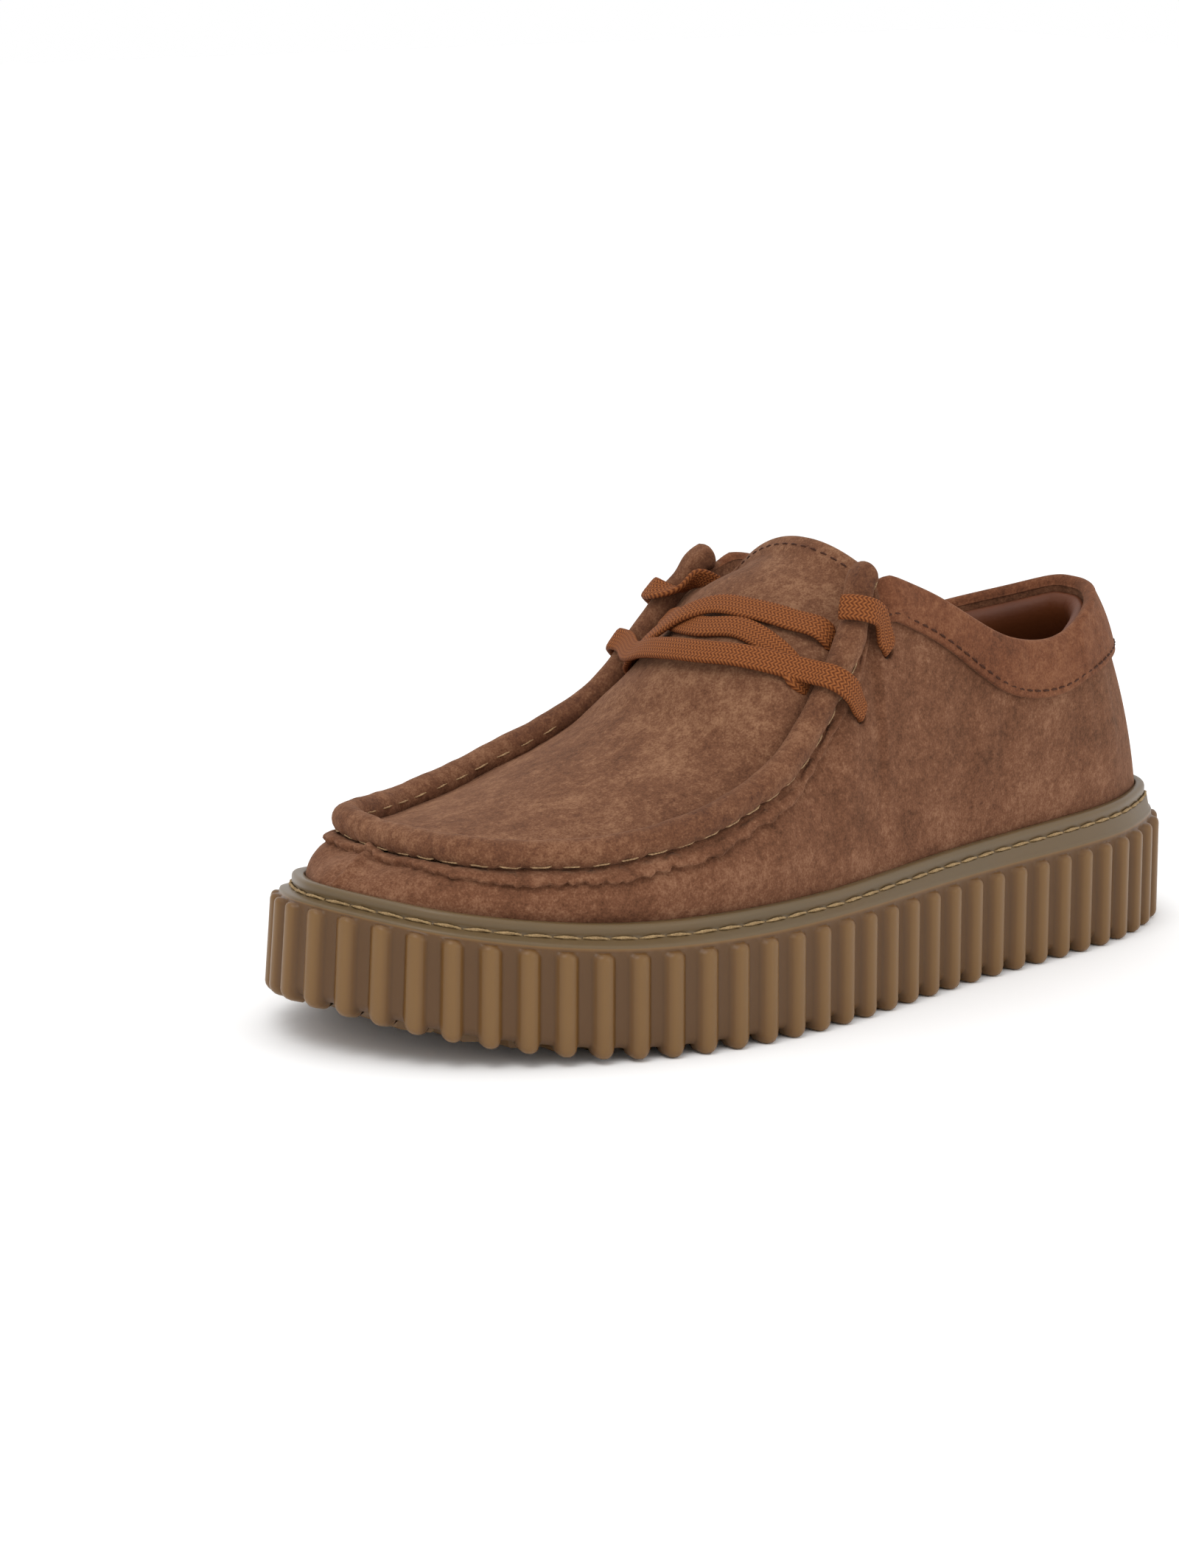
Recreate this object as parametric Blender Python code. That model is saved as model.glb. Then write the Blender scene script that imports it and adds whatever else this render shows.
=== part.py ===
import bpy
import bmesh
import math
import numpy as np
from mathutils import Vector

# main sizes of the shoe, in metres
LENGTH = 0.300
BALL_WIDTH = 0.1164
INSTEP_HEIGHT = 0.116

# gaps and thicknesses
GAP = 0.0003
WALL = 0.0020
APRON_THICKNESS = 0.0020
BAND_THICKNESS = 0.0013
STRIP_STEP = 0.0009
INSOLE_THICKNESS = 0.0040

# sole heights at heel and toe, before the toe spring is added
LIP_HEIGHT = 0.0392
RIB_TOP_HEEL = 0.0300
RIB_TOP_TOE = 0.0273
LEDGE_RISE = 0.0019
GROOVE_DROP = 0.0036
LIP_ROUND = 0.0012
FLOOR_HEEL = 0.0240
FLOOR_BALL = 0.0150
FLOOR_BALL_SHARE = 0.65
TOE_SPRING = 0.0131
SPRING_START = 0.72
SPRING_UPPER_SHARE = 0.85

# how far each part of the sole and upper stands in from the rib crests
RIB_RELIEF = 0.0022
LEDGE_INSET_HEEL = 0.0028
LEDGE_INSET_TOE = 0.0037
LIP_INSET_HEEL = 0.0050
LIP_INSET_TOE = 0.0070
UPPER_INSET_HEEL = 0.0080
UPPER_INSET_TOE = 0.0107

# ribs and tread
RIB_PITCH = 0.0100
RIB_WIDTH = 0.0052
RIB_SHOULDER = 0.45
RIB_DOME = 0.0022
RIB_EDGE_RADIUS = 0.0015
RIB_UNDER_REACH = 0.0070
TREAD_DEPTH = 0.0025
TREAD_RING = 0.0110
TREAD_BAR_WIDTH = 0.0052
TREAD_BAR_BITE = 0.0010

# seam roll round the apron and up the throat
ROLL_WIDTH = 0.0080
ROLL_HEIGHT = 0.0078
ROLL_STATIONS = 54
ROLL_CLUSTER = 0.6
ROLL_SIDES = 8
ROLL_FADE = 0.0050
ROLL_END_LENGTH = 0.0023
ROLL_END_SCALE = 0.7
STRIP_WIDTH = 0.0060

# collar band and its padded lining
BAND_SIDE = 0.0152
BAND_HEEL = 0.0195
BAND_HEEL_SHARE = 0.15
BAND_FRONT_FOOT = 0.4445
BAND_CLEAR = 0.0005
LINING_FRONT_FOOT = 0.415
LINING_DEPTH = 0.0270
LINING_THICK = 0.0050
LINING_EDGE = 0.0016
LINING_TOP_DROP = 0.0010
LINING_CLEAR = 0.0008

# lace holes and lace
HOLE_DIAMETER = 0.0046
HOLE_SIDES = 12
HOLE_SEARCH = (0.30, 0.65)
HOLE_LEVELS = (0.30, 1.00)
LACE_WIDTH = 0.0080
LACE_THICKNESS = 0.0018

# stations round the upper wall, with extra ones at the ends of the seam roll
WALL_STATIONS = 84
END_STATIONS = (-0.0050, 0.0, 0.0030, 0.0065)
STATION_SPACE = 0.0028

# sole outline: share of length from heel, lateral and medial half width as shares of ball width
OUTLINE = [
    (0.02, 0.136, 0.146),
    (0.05, 0.198, 0.215),
    (0.10, 0.267, 0.284),
    (0.20, 0.334, 0.330),
    (0.30, 0.370, 0.336),
    (0.40, 0.417, 0.346),
    (0.50, 0.476, 0.384),
    (0.60, 0.520, 0.434),
    (0.68, 0.525, 0.462),
    (0.75, 0.499, 0.472),
    (0.82, 0.447, 0.464),
    (0.90, 0.346, 0.412),
    (0.95, 0.246, 0.330),
    (0.98, 0.109, 0.227),
]
TOE_TIP_MEDIAL = 0.100

# top line of the upper: share of length of its foot on the sole, share of length of the top,
# lateral and medial half width as shares of ball width, lateral and medial height as shares
# of instep height; from row COLLAR_ROWS on it is the centre line of the seam roll
TOP_LINE = [
    (0.020, 0.104, 0.060, 0.069, 0.845, 0.840),
    (0.050, 0.124, 0.129, 0.125, 0.838, 0.819),
    (0.100, 0.161, 0.204, 0.210, 0.814, 0.786),
    (0.170, 0.200, 0.241, 0.252, 0.778, 0.764),
    (0.240, 0.247, 0.266, 0.272, 0.770, 0.762),
    (0.300, 0.293, 0.275, 0.282, 0.796, 0.793),
    (0.350, 0.333, 0.279, 0.286, 0.845, 0.838),
    (0.395, 0.378, 0.275, 0.284, 0.909, 0.900),
    (0.430, 0.420, 0.270, 0.282, 0.957, 0.946),
    (0.455, 0.465, 0.269, 0.286, 0.982, 0.945),
    (0.480, 0.483, 0.289, 0.306, 0.893, 0.893),
    (0.505, 0.507, 0.317, 0.332, 0.809, 0.809),
    (0.533, 0.532, 0.332, 0.343, 0.728, 0.728),
    (0.563, 0.560, 0.348, 0.355, 0.652, 0.652),
    (0.600, 0.598, 0.377, 0.378, 0.587, 0.587),
    (0.643, 0.640, 0.390, 0.390, 0.541, 0.541),
    (0.690, 0.684, 0.398, 0.398, 0.506, 0.506),
    (0.735, 0.724, 0.385, 0.387, 0.480, 0.480),
    (0.780, 0.761, 0.357, 0.374, 0.463, 0.463),
    (0.825, 0.797, 0.325, 0.356, 0.452, 0.452),
    (0.865, 0.830, 0.280, 0.324, 0.451, 0.451),
    (0.905, 0.862, 0.233, 0.293, 0.453, 0.453),
    (0.945, 0.888, 0.169, 0.249, 0.459, 0.459),
    (0.980, 0.899, 0.060, 0.163, 0.458, 0.458),
]
COLLAR_ROWS = 9
HEEL_TOP = (0.097, 0.009, 0.846)
TOE_TOP = (0.902, 0.069, 0.457)

# height of the sole lip: share of length, share of its height at the heel
LIP_LINE = [(0.0, 1.0), (0.2, 0.980), (0.4, 0.939), (0.55, 0.903), (0.7, 0.893), (1.0, 0.865)]

# belly of the upper wall: share of length, size as share of instep height
BELLY = [(0.0, 0.022), (0.25, 0.012), (0.50, 0.016), (0.75, 0.026), (1.0, 0.022)]

# apron and tongue: share of length, crown and rise of the edge as shares of instep height,
# how far the edge stands in from the seam roll as share of ball width, lean of the crown in degrees
APRON = [
    (0.890, 0.012, -0.009, 0.000, 0.0),
    (0.840, 0.032, -0.009, 0.000, 1.0),
    (0.775, 0.056, -0.009, 0.000, 4.0),
    (0.735, 0.068, -0.009, 0.000, 8.0),
    (0.690, 0.078, -0.009, 0.000, 11.0),
    (0.648, 0.087, -0.009, 0.000, 18.0),
    (0.609, 0.096, -0.007, 0.006, 26.0),
    (0.572, 0.095, 0.026, 0.048, 34.0),
    (0.537, 0.088, 0.050, 0.085, 38.0),
    (0.511, 0.083, 0.020, 0.078, 37.0),
    (0.485, 0.082, -0.016, 0.052, 34.0),
    (0.460, 0.084, -0.052, 0.032, 28.0),
    (0.443, 0.077, -0.008, 0.041, 20.0),
]
APRON_RUNGS = [
    0.890, 0.878, 0.860, 0.840, 0.810, 0.775, 0.735, 0.690,
    0.648, 0.609, 0.590, 0.572, 0.554, 0.537, 0.511, 0.485, 0.460, 0.443,
]
APRON_ACROSS = 12
TONGUE_LATERAL = 0.4

# lace holes: share of length and share of instep height on the outside of the wall
HOLES = [(0.492, 0.675), (0.448, 0.805)]

# lace: share of length of each place on the tongue, and place across it from lateral to medial
LACE_BAR = [(0.558, -0.45), (0.560, -0.2), (0.561, 0.2), (0.558, 0.55), (0.552, 0.85)]
LACE_RISING = [(0.503, -0.98), (0.508, -0.65), (0.514, -0.25), (0.524, 0.2), (0.538, 0.6), (0.556, 0.98)]
LACE_FALLING = [(0.556, -0.98), (0.541, -0.65), (0.530, -0.25), (0.523, 0.2), (0.515, 0.6), (0.505, 0.98)]
LACE_BAR_CROSSING = (0.525, 0.532)
LACE_END_CROSSING = (0.482, 0.497)
LACE_BAR_LIFT = 0.0011
LACE_CLEAR = 0.0011
LACE_END_LIFT = 0.0016
LACE_END_ROLL_LIFT = 0.0002
LACE_BAR_ANGLES = (-5.0, 30.0, 65.0, 100.0)
LACE_END_ANGLES = (10.0, 40.0, 70.0, 100.0, 120.0)
LACE_STEPS = 2

SPLINE_STEP = 1e-4
NORMAL_STEP = 0.0030
LEVEL_STEP = 1e-3
DENSE = 4000
HEEL_SIDE = 0.5 * LENGTH


def x_of(share):
    return HEEL_SIDE - share * LENGTH


def share_of(x):
    return (HEEL_SIDE - x) / LENGTH


def curve_bend(knots, period, values):
    count = len(knots)
    step = np.diff(np.append(knots, knots[0] + period))
    matrix = np.zeros((count, count))
    right = np.zeros(values.shape)
    for i in range(count):
        after = step[i]
        before = step[i - 1]
        ahead = (i + 1) % count
        matrix[i, i - 1] += before
        matrix[i, i] += 2.0 * (before + after)
        matrix[i, ahead] += after
        right[i] = 6.0 * ((values[ahead] - values[i]) / after - (values[i] - values[i - 1]) / before)
    return np.linalg.solve(matrix, right)


def closed_curve(knots, period, values, where):
    """Point of a smooth closed curve through the values at the knots."""
    bend = curve_bend(knots, period, values)
    place = np.mod(np.atleast_1d(np.asarray(where, float)) - knots[0], period) + knots[0]
    index = np.searchsorted(knots, place, side="right") - 1
    ahead = (index + 1) % len(knots)
    step = np.diff(np.append(knots, knots[0] + period))[index]
    near = ((knots[index] + step - place) / step)[:, None]
    far = 1.0 - near
    cubic = (near ** 3 - near) * bend[index] + (far ** 3 - far) * bend[ahead]
    return near * values[index] + far * values[ahead] + cubic * (step ** 2)[:, None] / 6.0


def outline_points():
    points = [(HEEL_SIDE, 0.0)]
    for share, lateral, medial in OUTLINE:
        points.append((x_of(share), -lateral * BALL_WIDTH))
    points.append((-HEEL_SIDE, TOE_TIP_MEDIAL * BALL_WIDTH))
    for share, lateral, medial in reversed(OUTLINE):
        points.append((x_of(share), medial * BALL_WIDTH))
    return np.array(points)


OUTLINE_POINTS = outline_points()
CHORDS = np.linalg.norm(np.roll(OUTLINE_POINTS, -1, axis=0) - OUTLINE_POINTS, axis=1)
OUTLINE_KNOTS = np.append(0.0, np.cumsum(CHORDS)[:-1])
OUTLINE_PERIOD = float(CHORDS.sum())
DENSE_PLACE = np.linspace(0.0, OUTLINE_PERIOD, DENSE)
DENSE_POINTS = closed_curve(OUTLINE_KNOTS, OUTLINE_PERIOD, OUTLINE_POINTS, DENSE_PLACE[:-1])
DENSE_POINTS = np.vstack([DENSE_POINTS, DENSE_POINTS[:1]])
DENSE_LENGTH = np.append(0.0, np.cumsum(np.linalg.norm(np.diff(DENSE_POINTS, axis=0), axis=1)))
PERIMETER = float(DENSE_LENGTH[-1])
TOE_LENGTH = float(np.interp(OUTLINE_KNOTS[len(OUTLINE) + 1], DENSE_PLACE, DENSE_LENGTH))
CENTRE_X = 0.5 * float(DENSE_POINTS[:, 0].max() + DENSE_POINTS[:, 0].min())
CENTRE_Y = 0.5 * float(DENSE_POINTS[:, 1].max() + DENSE_POINTS[:, 1].min())


def outline(length):
    place = np.interp(np.mod(np.atleast_1d(length), PERIMETER), DENSE_LENGTH, DENSE_PLACE)
    return closed_curve(OUTLINE_KNOTS, OUTLINE_PERIOD, OUTLINE_POINTS, place)


def outward(length):
    """Level direction that points out of the sole."""
    along = outline(np.atleast_1d(length) + SPLINE_STEP) - outline(np.atleast_1d(length) - SPLINE_STEP)
    across = np.stack([-along[:, 1], along[:, 0]], axis=1)
    return across / np.linalg.norm(across, axis=1, keepdims=True)


def foot_length(share, medial):
    """Place along the outline that stands at a share of the length, on one side."""
    dense_share = share_of(DENSE_POINTS[:, 0])
    side = DENSE_LENGTH >= TOE_LENGTH if medial else DENSE_LENGTH <= TOE_LENGTH
    shares = dense_share[side]
    lengths = DENSE_LENGTH[side]
    order = np.argsort(shares)
    return float(np.interp(share, shares[order], lengths[order]))


def spring(share):
    rise = np.clip((np.asarray(share) - SPRING_START) / (1.0 - SPRING_START), 0.0, 1.0)
    return TOE_SPRING * rise ** 2


def between(heel, toe, share):
    return heel + (toe - heel) * np.asarray(share)


def between_squared(heel, toe, share):
    return heel + (toe - heel) * np.asarray(share) ** 2


def ring(lengths, inset, height, spring_share=1.0):
    """Loop round the sole at an inset from the outline and a height above the floor."""
    base = outline(lengths)
    level = base - outward(lengths) * np.reshape(inset * np.ones(len(lengths)), (-1, 1))
    rise = height + spring_share * spring(share_of(level[:, 0]))
    return np.column_stack([level, rise])


def floor_height(share):
    ball = np.clip(np.asarray(share) / FLOOR_BALL_SHARE, 0.0, 1.0)
    return FLOOR_HEEL + (FLOOR_BALL - FLOOR_HEEL) * ball * ball * (3.0 - 2.0 * ball)


def upper_inset(share):
    return between_squared(UPPER_INSET_HEEL, UPPER_INSET_TOE, share)


def floor_ring(lengths, inset, height):
    level = outline(lengths) - outward(lengths) * np.reshape(inset * np.ones(len(lengths)), (-1, 1))
    share = share_of(level[:, 0])
    rise = floor_height(share) + height + SPRING_UPPER_SHARE * spring(share)
    return np.column_stack([level, rise])


def material(name, colour, roughness):
    made = bpy.data.materials.new(name)
    made.use_nodes = True
    shader = made.node_tree.nodes["Principled BSDF"]
    shader.inputs["Base Color"].default_value = (colour[0], colour[1], colour[2], 1.0)
    shader.inputs["Roughness"].default_value = roughness
    made.diffuse_color = (colour[0], colour[1], colour[2], 1.0)
    return made


def add_object(name, points, faces, paint, smooth=True):
    """Closed mesh object, moved so that the shoe stands about the origin."""
    moved = [(p[0] - CENTRE_X, p[1] - CENTRE_Y, p[2]) for p in points]
    mesh = bpy.data.meshes.new(name)
    mesh.from_pydata(moved, [], faces)
    mesh.materials.append(paint)
    made = bpy.data.objects.new(name, mesh)
    bpy.context.scene.collection.objects.link(made)
    work = bmesh.new()
    work.from_mesh(mesh)
    bmesh.ops.triangulate(work, faces=work.faces[:])
    bmesh.ops.recalc_face_normals(work, faces=work.faces[:])
    for face in work.faces:
        face.smooth = smooth
    work.to_mesh(mesh)
    work.free()
    mesh.update()
    return made


def ladder(indices, flip):
    """Faces that fill a loop by rungs between its two sides."""
    count = len(indices)
    faces = []
    low = 0
    high = count - 1
    while high - low > 2:
        quad = [indices[low], indices[low + 1], indices[high - 1], indices[high]]
        faces.append(quad[::-1] if flip else quad)
        low += 1
        high -= 1
    if high - low == 2:
        last = [indices[low], indices[low + 1], indices[high]]
        faces.append(last[::-1] if flip else last)
    return faces


def band_faces(first, second, count):
    faces = []
    for i in range(count):
        j = (i + 1) % count
        faces.append([first + i, first + j, second + j, second + i])
    return faces


def sweep(name, rings, paint, closed):
    """Solid from closed cross-sections, joined into a ring or capped at both ends."""
    stations = len(rings)
    sides = len(rings[0])
    points = [tuple(p) for section in rings for p in section]
    faces = []
    steps = stations if closed else stations - 1
    for i in range(steps):
        here = i * sides
        there = ((i + 1) % stations) * sides
        for k in range(sides):
            m = (k + 1) % sides
            faces.append([here + k, here + m, there + m, there + k])
    if not closed:
        faces.append(list(range(sides))[::-1])
        last = (stations - 1) * sides
        faces.append([last + k for k in range(sides)])
    return add_object(name, points, faces, paint)


def cut(target, cutter, operation):
    """Cut with, or add, another solid and drop it afterwards."""
    cutter.display_type = "WIRE"
    cutter.hide_render = True
    step = target.modifiers.new(operation, "BOOLEAN")
    step.operation = operation
    step.solver = "EXACT"
    step.object = cutter
    graph = bpy.context.evaluated_depsgraph_get()
    mesh = bpy.data.meshes.new_from_object(target.evaluated_get(graph))
    target.modifiers.clear()
    old = target.data
    target.data = mesh
    mesh.name = target.name
    bpy.data.meshes.remove(old)
    bpy.data.objects.remove(cutter, do_unlink=True)
    work = bmesh.new()
    work.from_mesh(mesh)
    bmesh.ops.remove_doubles(work, verts=work.verts[:], dist=1e-6)
    bmesh.ops.triangulate(work, faces=work.faces[:])
    work.to_mesh(mesh)
    work.free()


# sole


def rib_row(lengths, profile, base_inset, base_height, rib_inset, rib_height):
    """One loop of the side wall that swells out at every rib."""
    share = share_of(outline(lengths)[:, 0])
    swell = np.asarray(profile)
    inset = base_inset(share) + (rib_inset(share) - base_inset(share)) * swell
    height = base_height(share) + (rib_height(share) - base_height(share)) * swell
    top = np.clip(height / LIP_HEIGHT, 0.0, 1.0)
    return ring(lengths, inset, height, 1.0 - (1.0 - SPRING_UPPER_SHARE) * top)


def rib_top(share):
    return between(RIB_TOP_HEEL, RIB_TOP_TOE, share)


def ledge_inset(share):
    return between_squared(LEDGE_INSET_HEEL, LEDGE_INSET_TOE, share)


def lip_inset(share):
    return between_squared(LIP_INSET_HEEL, LIP_INSET_TOE, share)


def lip_top(share):
    return LIP_HEIGHT * np.interp(share, [row[0] for row in LIP_LINE], [row[1] for row in LIP_LINE])


def constant(value):
    return lambda share: value + 0.0 * share


def build_outsole(paint):
    count = int(round(PERIMETER / RIB_PITCH))
    pitch = PERIMETER / count
    half = 0.5 * RIB_WIDTH
    offsets = np.array([-half, -RIB_SHOULDER * half, RIB_SHOULDER * half, half])
    swells = np.array([0.0, 1.0, 1.0, 0.0])
    centres = TOE_LENGTH + pitch * np.arange(count)
    fine = (centres[:, None] + offsets[None, :]).ravel()
    profile = np.tile(swells, count)
    coarse = (centres[:, None] + np.array([0.0, 0.5 * pitch])[None, :]).ravel()
    under_base = constant(TREAD_DEPTH)
    ground = constant(0.0)
    reach = constant(RIB_UNDER_REACH)
    rows = [
        rib_row(fine, profile, constant(RIB_UNDER_REACH + TREAD_BAR_BITE), under_base,
                constant(RIB_UNDER_REACH + TREAD_BAR_BITE), under_base),
        rib_row(fine, profile, reach, under_base, reach, ground),
        rib_row(fine, profile, constant(RIB_RELIEF + RIB_EDGE_RADIUS), under_base,
                constant(RIB_EDGE_RADIUS), ground),
        rib_row(fine, profile, constant(RIB_RELIEF), constant(TREAD_DEPTH + RIB_EDGE_RADIUS),
                ground, constant(RIB_EDGE_RADIUS)),
        rib_row(fine, profile, ledge_inset, lambda s: rib_top(s) - RIB_DOME,
                lambda s: ledge_inset(s) - RIB_RELIEF, lambda s: rib_top(s) - RIB_DOME),
        rib_row(fine, profile, ledge_inset, rib_top, ledge_inset, rib_top),
    ]
    share = share_of(outline(coarse)[:, 0])
    upper = SPRING_UPPER_SHARE
    plain = [
        ring(coarse, ledge_inset(share), rib_top(share) + LEDGE_RISE, upper),
        ring(coarse, lip_inset(share), lip_top(share) - GROOVE_DROP, upper),
        ring(coarse, lip_inset(share), lip_top(share) - LIP_ROUND, upper),
        ring(coarse, lip_inset(share) + LIP_ROUND, lip_top(share), upper),
        ring(coarse, upper_inset(share) - GAP, lip_top(share) - GAP, upper),
        floor_ring(coarse, upper_inset(share) - GAP, 0.0),
    ]
    points = np.vstack(rows + plain)
    faces = []
    size = len(fine)
    small = len(coarse)
    for i in range(len(rows) - 1):
        faces += band_faces(i * size, (i + 1) * size, size)
    first = (len(rows) - 1) * size
    start = len(rows) * size
    for k in range(count):
        f = first + 4 * k
        c = start + 2 * k
        following = first + (4 * k + 4) % size
        faces += [[f, f + 1, c], [f + 1, f + 2, c], [f + 2, f + 3, c]]
        faces += [[f + 3, c + 1, c], [f + 3, following, c + 1]]
        faces += [[following, start + (2 * k + 2) % small, c + 1]]
    for i in range(len(plain) - 1):
        faces += band_faces(start + i * small, start + (i + 1) * small, small)
    faces += ladder(list(range(size)), True)
    last = start + (len(plain) - 1) * small
    faces += ladder([last + k for k in range(small)], False)
    made = add_object("outsole", points, faces, paint)
    bars = tread_bars(paint)
    cut(made, bars, "UNION")
    return made


def tread_bars(paint):
    """Cross bars of the tread inside the ring of rib ends."""
    border = ring(DENSE_LENGTH[:-1:8], TREAD_RING, 0.0)
    split = int(np.argmin(border[:, 0]))
    lateral = border[:split + 1]
    medial = border[split:]
    order = np.argsort(lateral[:, 0])
    lateral = lateral[order]
    order = np.argsort(medial[:, 0])
    medial = medial[order]
    first = border[:, 0].min() + RIB_PITCH
    last = border[:, 0].max() - RIB_PITCH
    number = int((last - first) / RIB_PITCH) + 1
    points = []
    faces = []
    for i in range(number):
        middle = first + (last - first) * i / (number - 1)
        corner = len(points)
        for x in (middle - 0.5 * TREAD_BAR_WIDTH, middle + 0.5 * TREAD_BAR_WIDTH):
            left = float(np.interp(x, lateral[:, 0], lateral[:, 1]))
            right = float(np.interp(x, medial[:, 0], medial[:, 1]))
            rise = float(spring(share_of(middle)))
            top = rise + TREAD_DEPTH + TREAD_BAR_BITE
            points += [(x, left, rise), (x, right, rise), (x, right, top), (x, left, top)]
        faces += [[corner + k for k in (0, 1, 2, 3)], [corner + k for k in (7, 6, 5, 4)]]
        for k in range(4):
            m = (k + 1) % 4
            faces.append([corner + m, corner + k, corner + 4 + k, corner + 4 + m])
    return add_object("tread_bars", points, faces, paint)


def build_insole(paint):
    lengths = wall_stations()
    share = share_of(outline(lengths)[:, 0])
    inset = upper_inset(share) + WALL + GAP
    under = floor_ring(lengths, inset, GAP)
    over = floor_ring(lengths, inset, GAP + INSOLE_THICKNESS)
    count = len(lengths)
    faces = band_faces(0, count, count)
    faces += ladder(list(range(count)), True)
    faces += ladder([count + k for k in range(count)], False)
    return add_object("insole", np.vstack([under, over]), faces, paint)


# upper wall


def top_rows():
    """Knots along the outline and the top line points that stand over them."""
    knots = [0.0]
    values = [(x_of(HEEL_TOP[0]), HEEL_TOP[1] * BALL_WIDTH, HEEL_TOP[2] * INSTEP_HEIGHT)]
    for foot, along, lateral, medial, low, high in TOP_LINE:
        knots.append(foot_length(foot, False))
        values.append((x_of(along), -lateral * BALL_WIDTH, low * INSTEP_HEIGHT))
    knots.append(TOE_LENGTH)
    values.append((x_of(TOE_TOP[0]), TOE_TOP[1] * BALL_WIDTH, TOE_TOP[2] * INSTEP_HEIGHT))
    for foot, along, lateral, medial, low, high in reversed(TOP_LINE):
        knots.append(foot_length(foot, True))
        values.append((x_of(along), medial * BALL_WIDTH, high * INSTEP_HEIGHT))
    return np.array(knots), np.array(values)


TOP_KNOTS, TOP_VALUES = top_rows()
ROLL_START = float(TOP_KNOTS[COLLAR_ROWS + 1])
ROLL_END = float(TOP_KNOTS[len(TOP_KNOTS) - COLLAR_ROWS - 1])


def top_line(lengths):
    return closed_curve(TOP_KNOTS, PERIMETER, TOP_VALUES, lengths)


def smooth_open(knots, values, where):
    """Point of a smooth open curve, bent by the mean slope at each knot."""
    slope = np.gradient(values, knots, axis=0)
    index = np.clip(np.searchsorted(knots, where, side="right") - 1, 0, len(knots) - 2)
    step = (knots[index + 1] - knots[index])[:, None]
    part = (where - knots[index])[:, None] / step
    near = (1.0 + 2.0 * part) * (1.0 - part) ** 2
    far = part ** 2 * (3.0 - 2.0 * part)
    leave = part * (1.0 - part) ** 2 * step
    arrive = part ** 2 * (part - 1.0) * step
    bent = leave * slope[index] + arrive * slope[index + 1]
    return near * values[index] + far * values[index + 1] + bent


def unit(vectors):
    return vectors / np.linalg.norm(vectors, axis=1, keepdims=True)


def top_frame(lengths):
    """Centre, outward side and raised direction along the top line."""
    lengths = np.atleast_1d(lengths)
    centre = top_line(lengths)
    along = unit(top_line(lengths + SPLINE_STEP) - top_line(lengths - SPLINE_STEP))
    level = np.stack([-along[:, 1], along[:, 0], 0.0 * along[:, 0]], axis=1)
    side = unit(level)
    raised = unit(np.cross(along, side))
    return centre, side, raised


def roll_share(lengths):
    """One along the seam roll, nought along the collar."""
    lengths = np.mod(np.atleast_1d(lengths), PERIMETER)
    rising = np.clip((lengths - ROLL_START + ROLL_FADE) / ROLL_FADE, 0.0, 1.0)
    falling = np.clip((ROLL_END + ROLL_FADE - lengths) / ROLL_FADE, 0.0, 1.0)
    return np.minimum(rising, falling)


def wall_stations():
    """Places round the outline, closer together at the ends of the seam roll."""
    even = np.linspace(0.0, PERIMETER, WALL_STATIONS, endpoint=False)
    ends = [ROLL_START + step for step in END_STATIONS] + [ROLL_END - step for step in END_STATIONS]
    for front in (BAND_FRONT_FOOT, LINING_FRONT_FOOT):
        ends += [foot_length(front, False), foot_length(front, True)]
    ends = np.array(ends)
    apart = np.min(np.abs(even[:, None] - ends[None, :]), axis=1)
    return np.sort(np.append(even[apart > STATION_SPACE], ends))


def wall_foot(lengths):
    lengths = np.atleast_1d(lengths)
    share = share_of(outline(lengths)[:, 0])
    return ring(lengths, upper_inset(share), lip_top(share), SPRING_UPPER_SHARE)


def wall_rim(lengths):
    centre, side, raised = top_frame(lengths)
    foot = wall_foot(lengths)
    chord = centre - foot
    flat = np.linalg.norm(chord[:, :2], axis=1) / np.linalg.norm(chord, axis=1)
    drop = 0.5 * ROLL_HEIGHT + 2.0 * GAP + STRIP_STEP * flat
    under_roll = centre - raised * drop[:, None] + side * 2.0 * GAP
    under_band = centre - np.array([[0.0, 0.0, BAND_THICKNESS + GAP]])
    part = roll_share(lengths)[:, None]
    return under_band + (under_roll - under_band) * part


def wall_surface(lengths, level):
    """Outside of the upper wall, from the sole lip at nought to the rim at one."""
    lengths = np.atleast_1d(lengths)
    level = np.reshape(level * np.ones(len(lengths)), (-1, 1))
    foot = wall_foot(lengths)
    rim = wall_rim(lengths)
    chord = rim - foot
    run = unit(chord)
    level_out = np.column_stack([outward(lengths), np.zeros(len(lengths))])
    swell = unit(level_out - run * np.sum(level_out * run, axis=1, keepdims=True))
    shares = [row[0] for row in BELLY]
    sizes = [row[1] for row in BELLY]
    belly = np.interp(share_of(outline(lengths)[:, 0]), shares, sizes) * INSTEP_HEIGHT
    return foot + chord * level + swell * (4.0 * level * (1.0 - level) * belly[:, None])


def wall_normal(lengths, level):
    lengths = np.atleast_1d(lengths)
    around = wall_surface(lengths + NORMAL_STEP, level) - wall_surface(lengths - NORMAL_STEP, level)
    upward = wall_surface(lengths, level + LEVEL_STEP) - wall_surface(lengths, level - LEVEL_STEP)
    return unit(np.cross(upward, around))


def wall_height(lengths):
    return np.linalg.norm(wall_rim(lengths) - wall_foot(lengths), axis=1)


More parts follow.
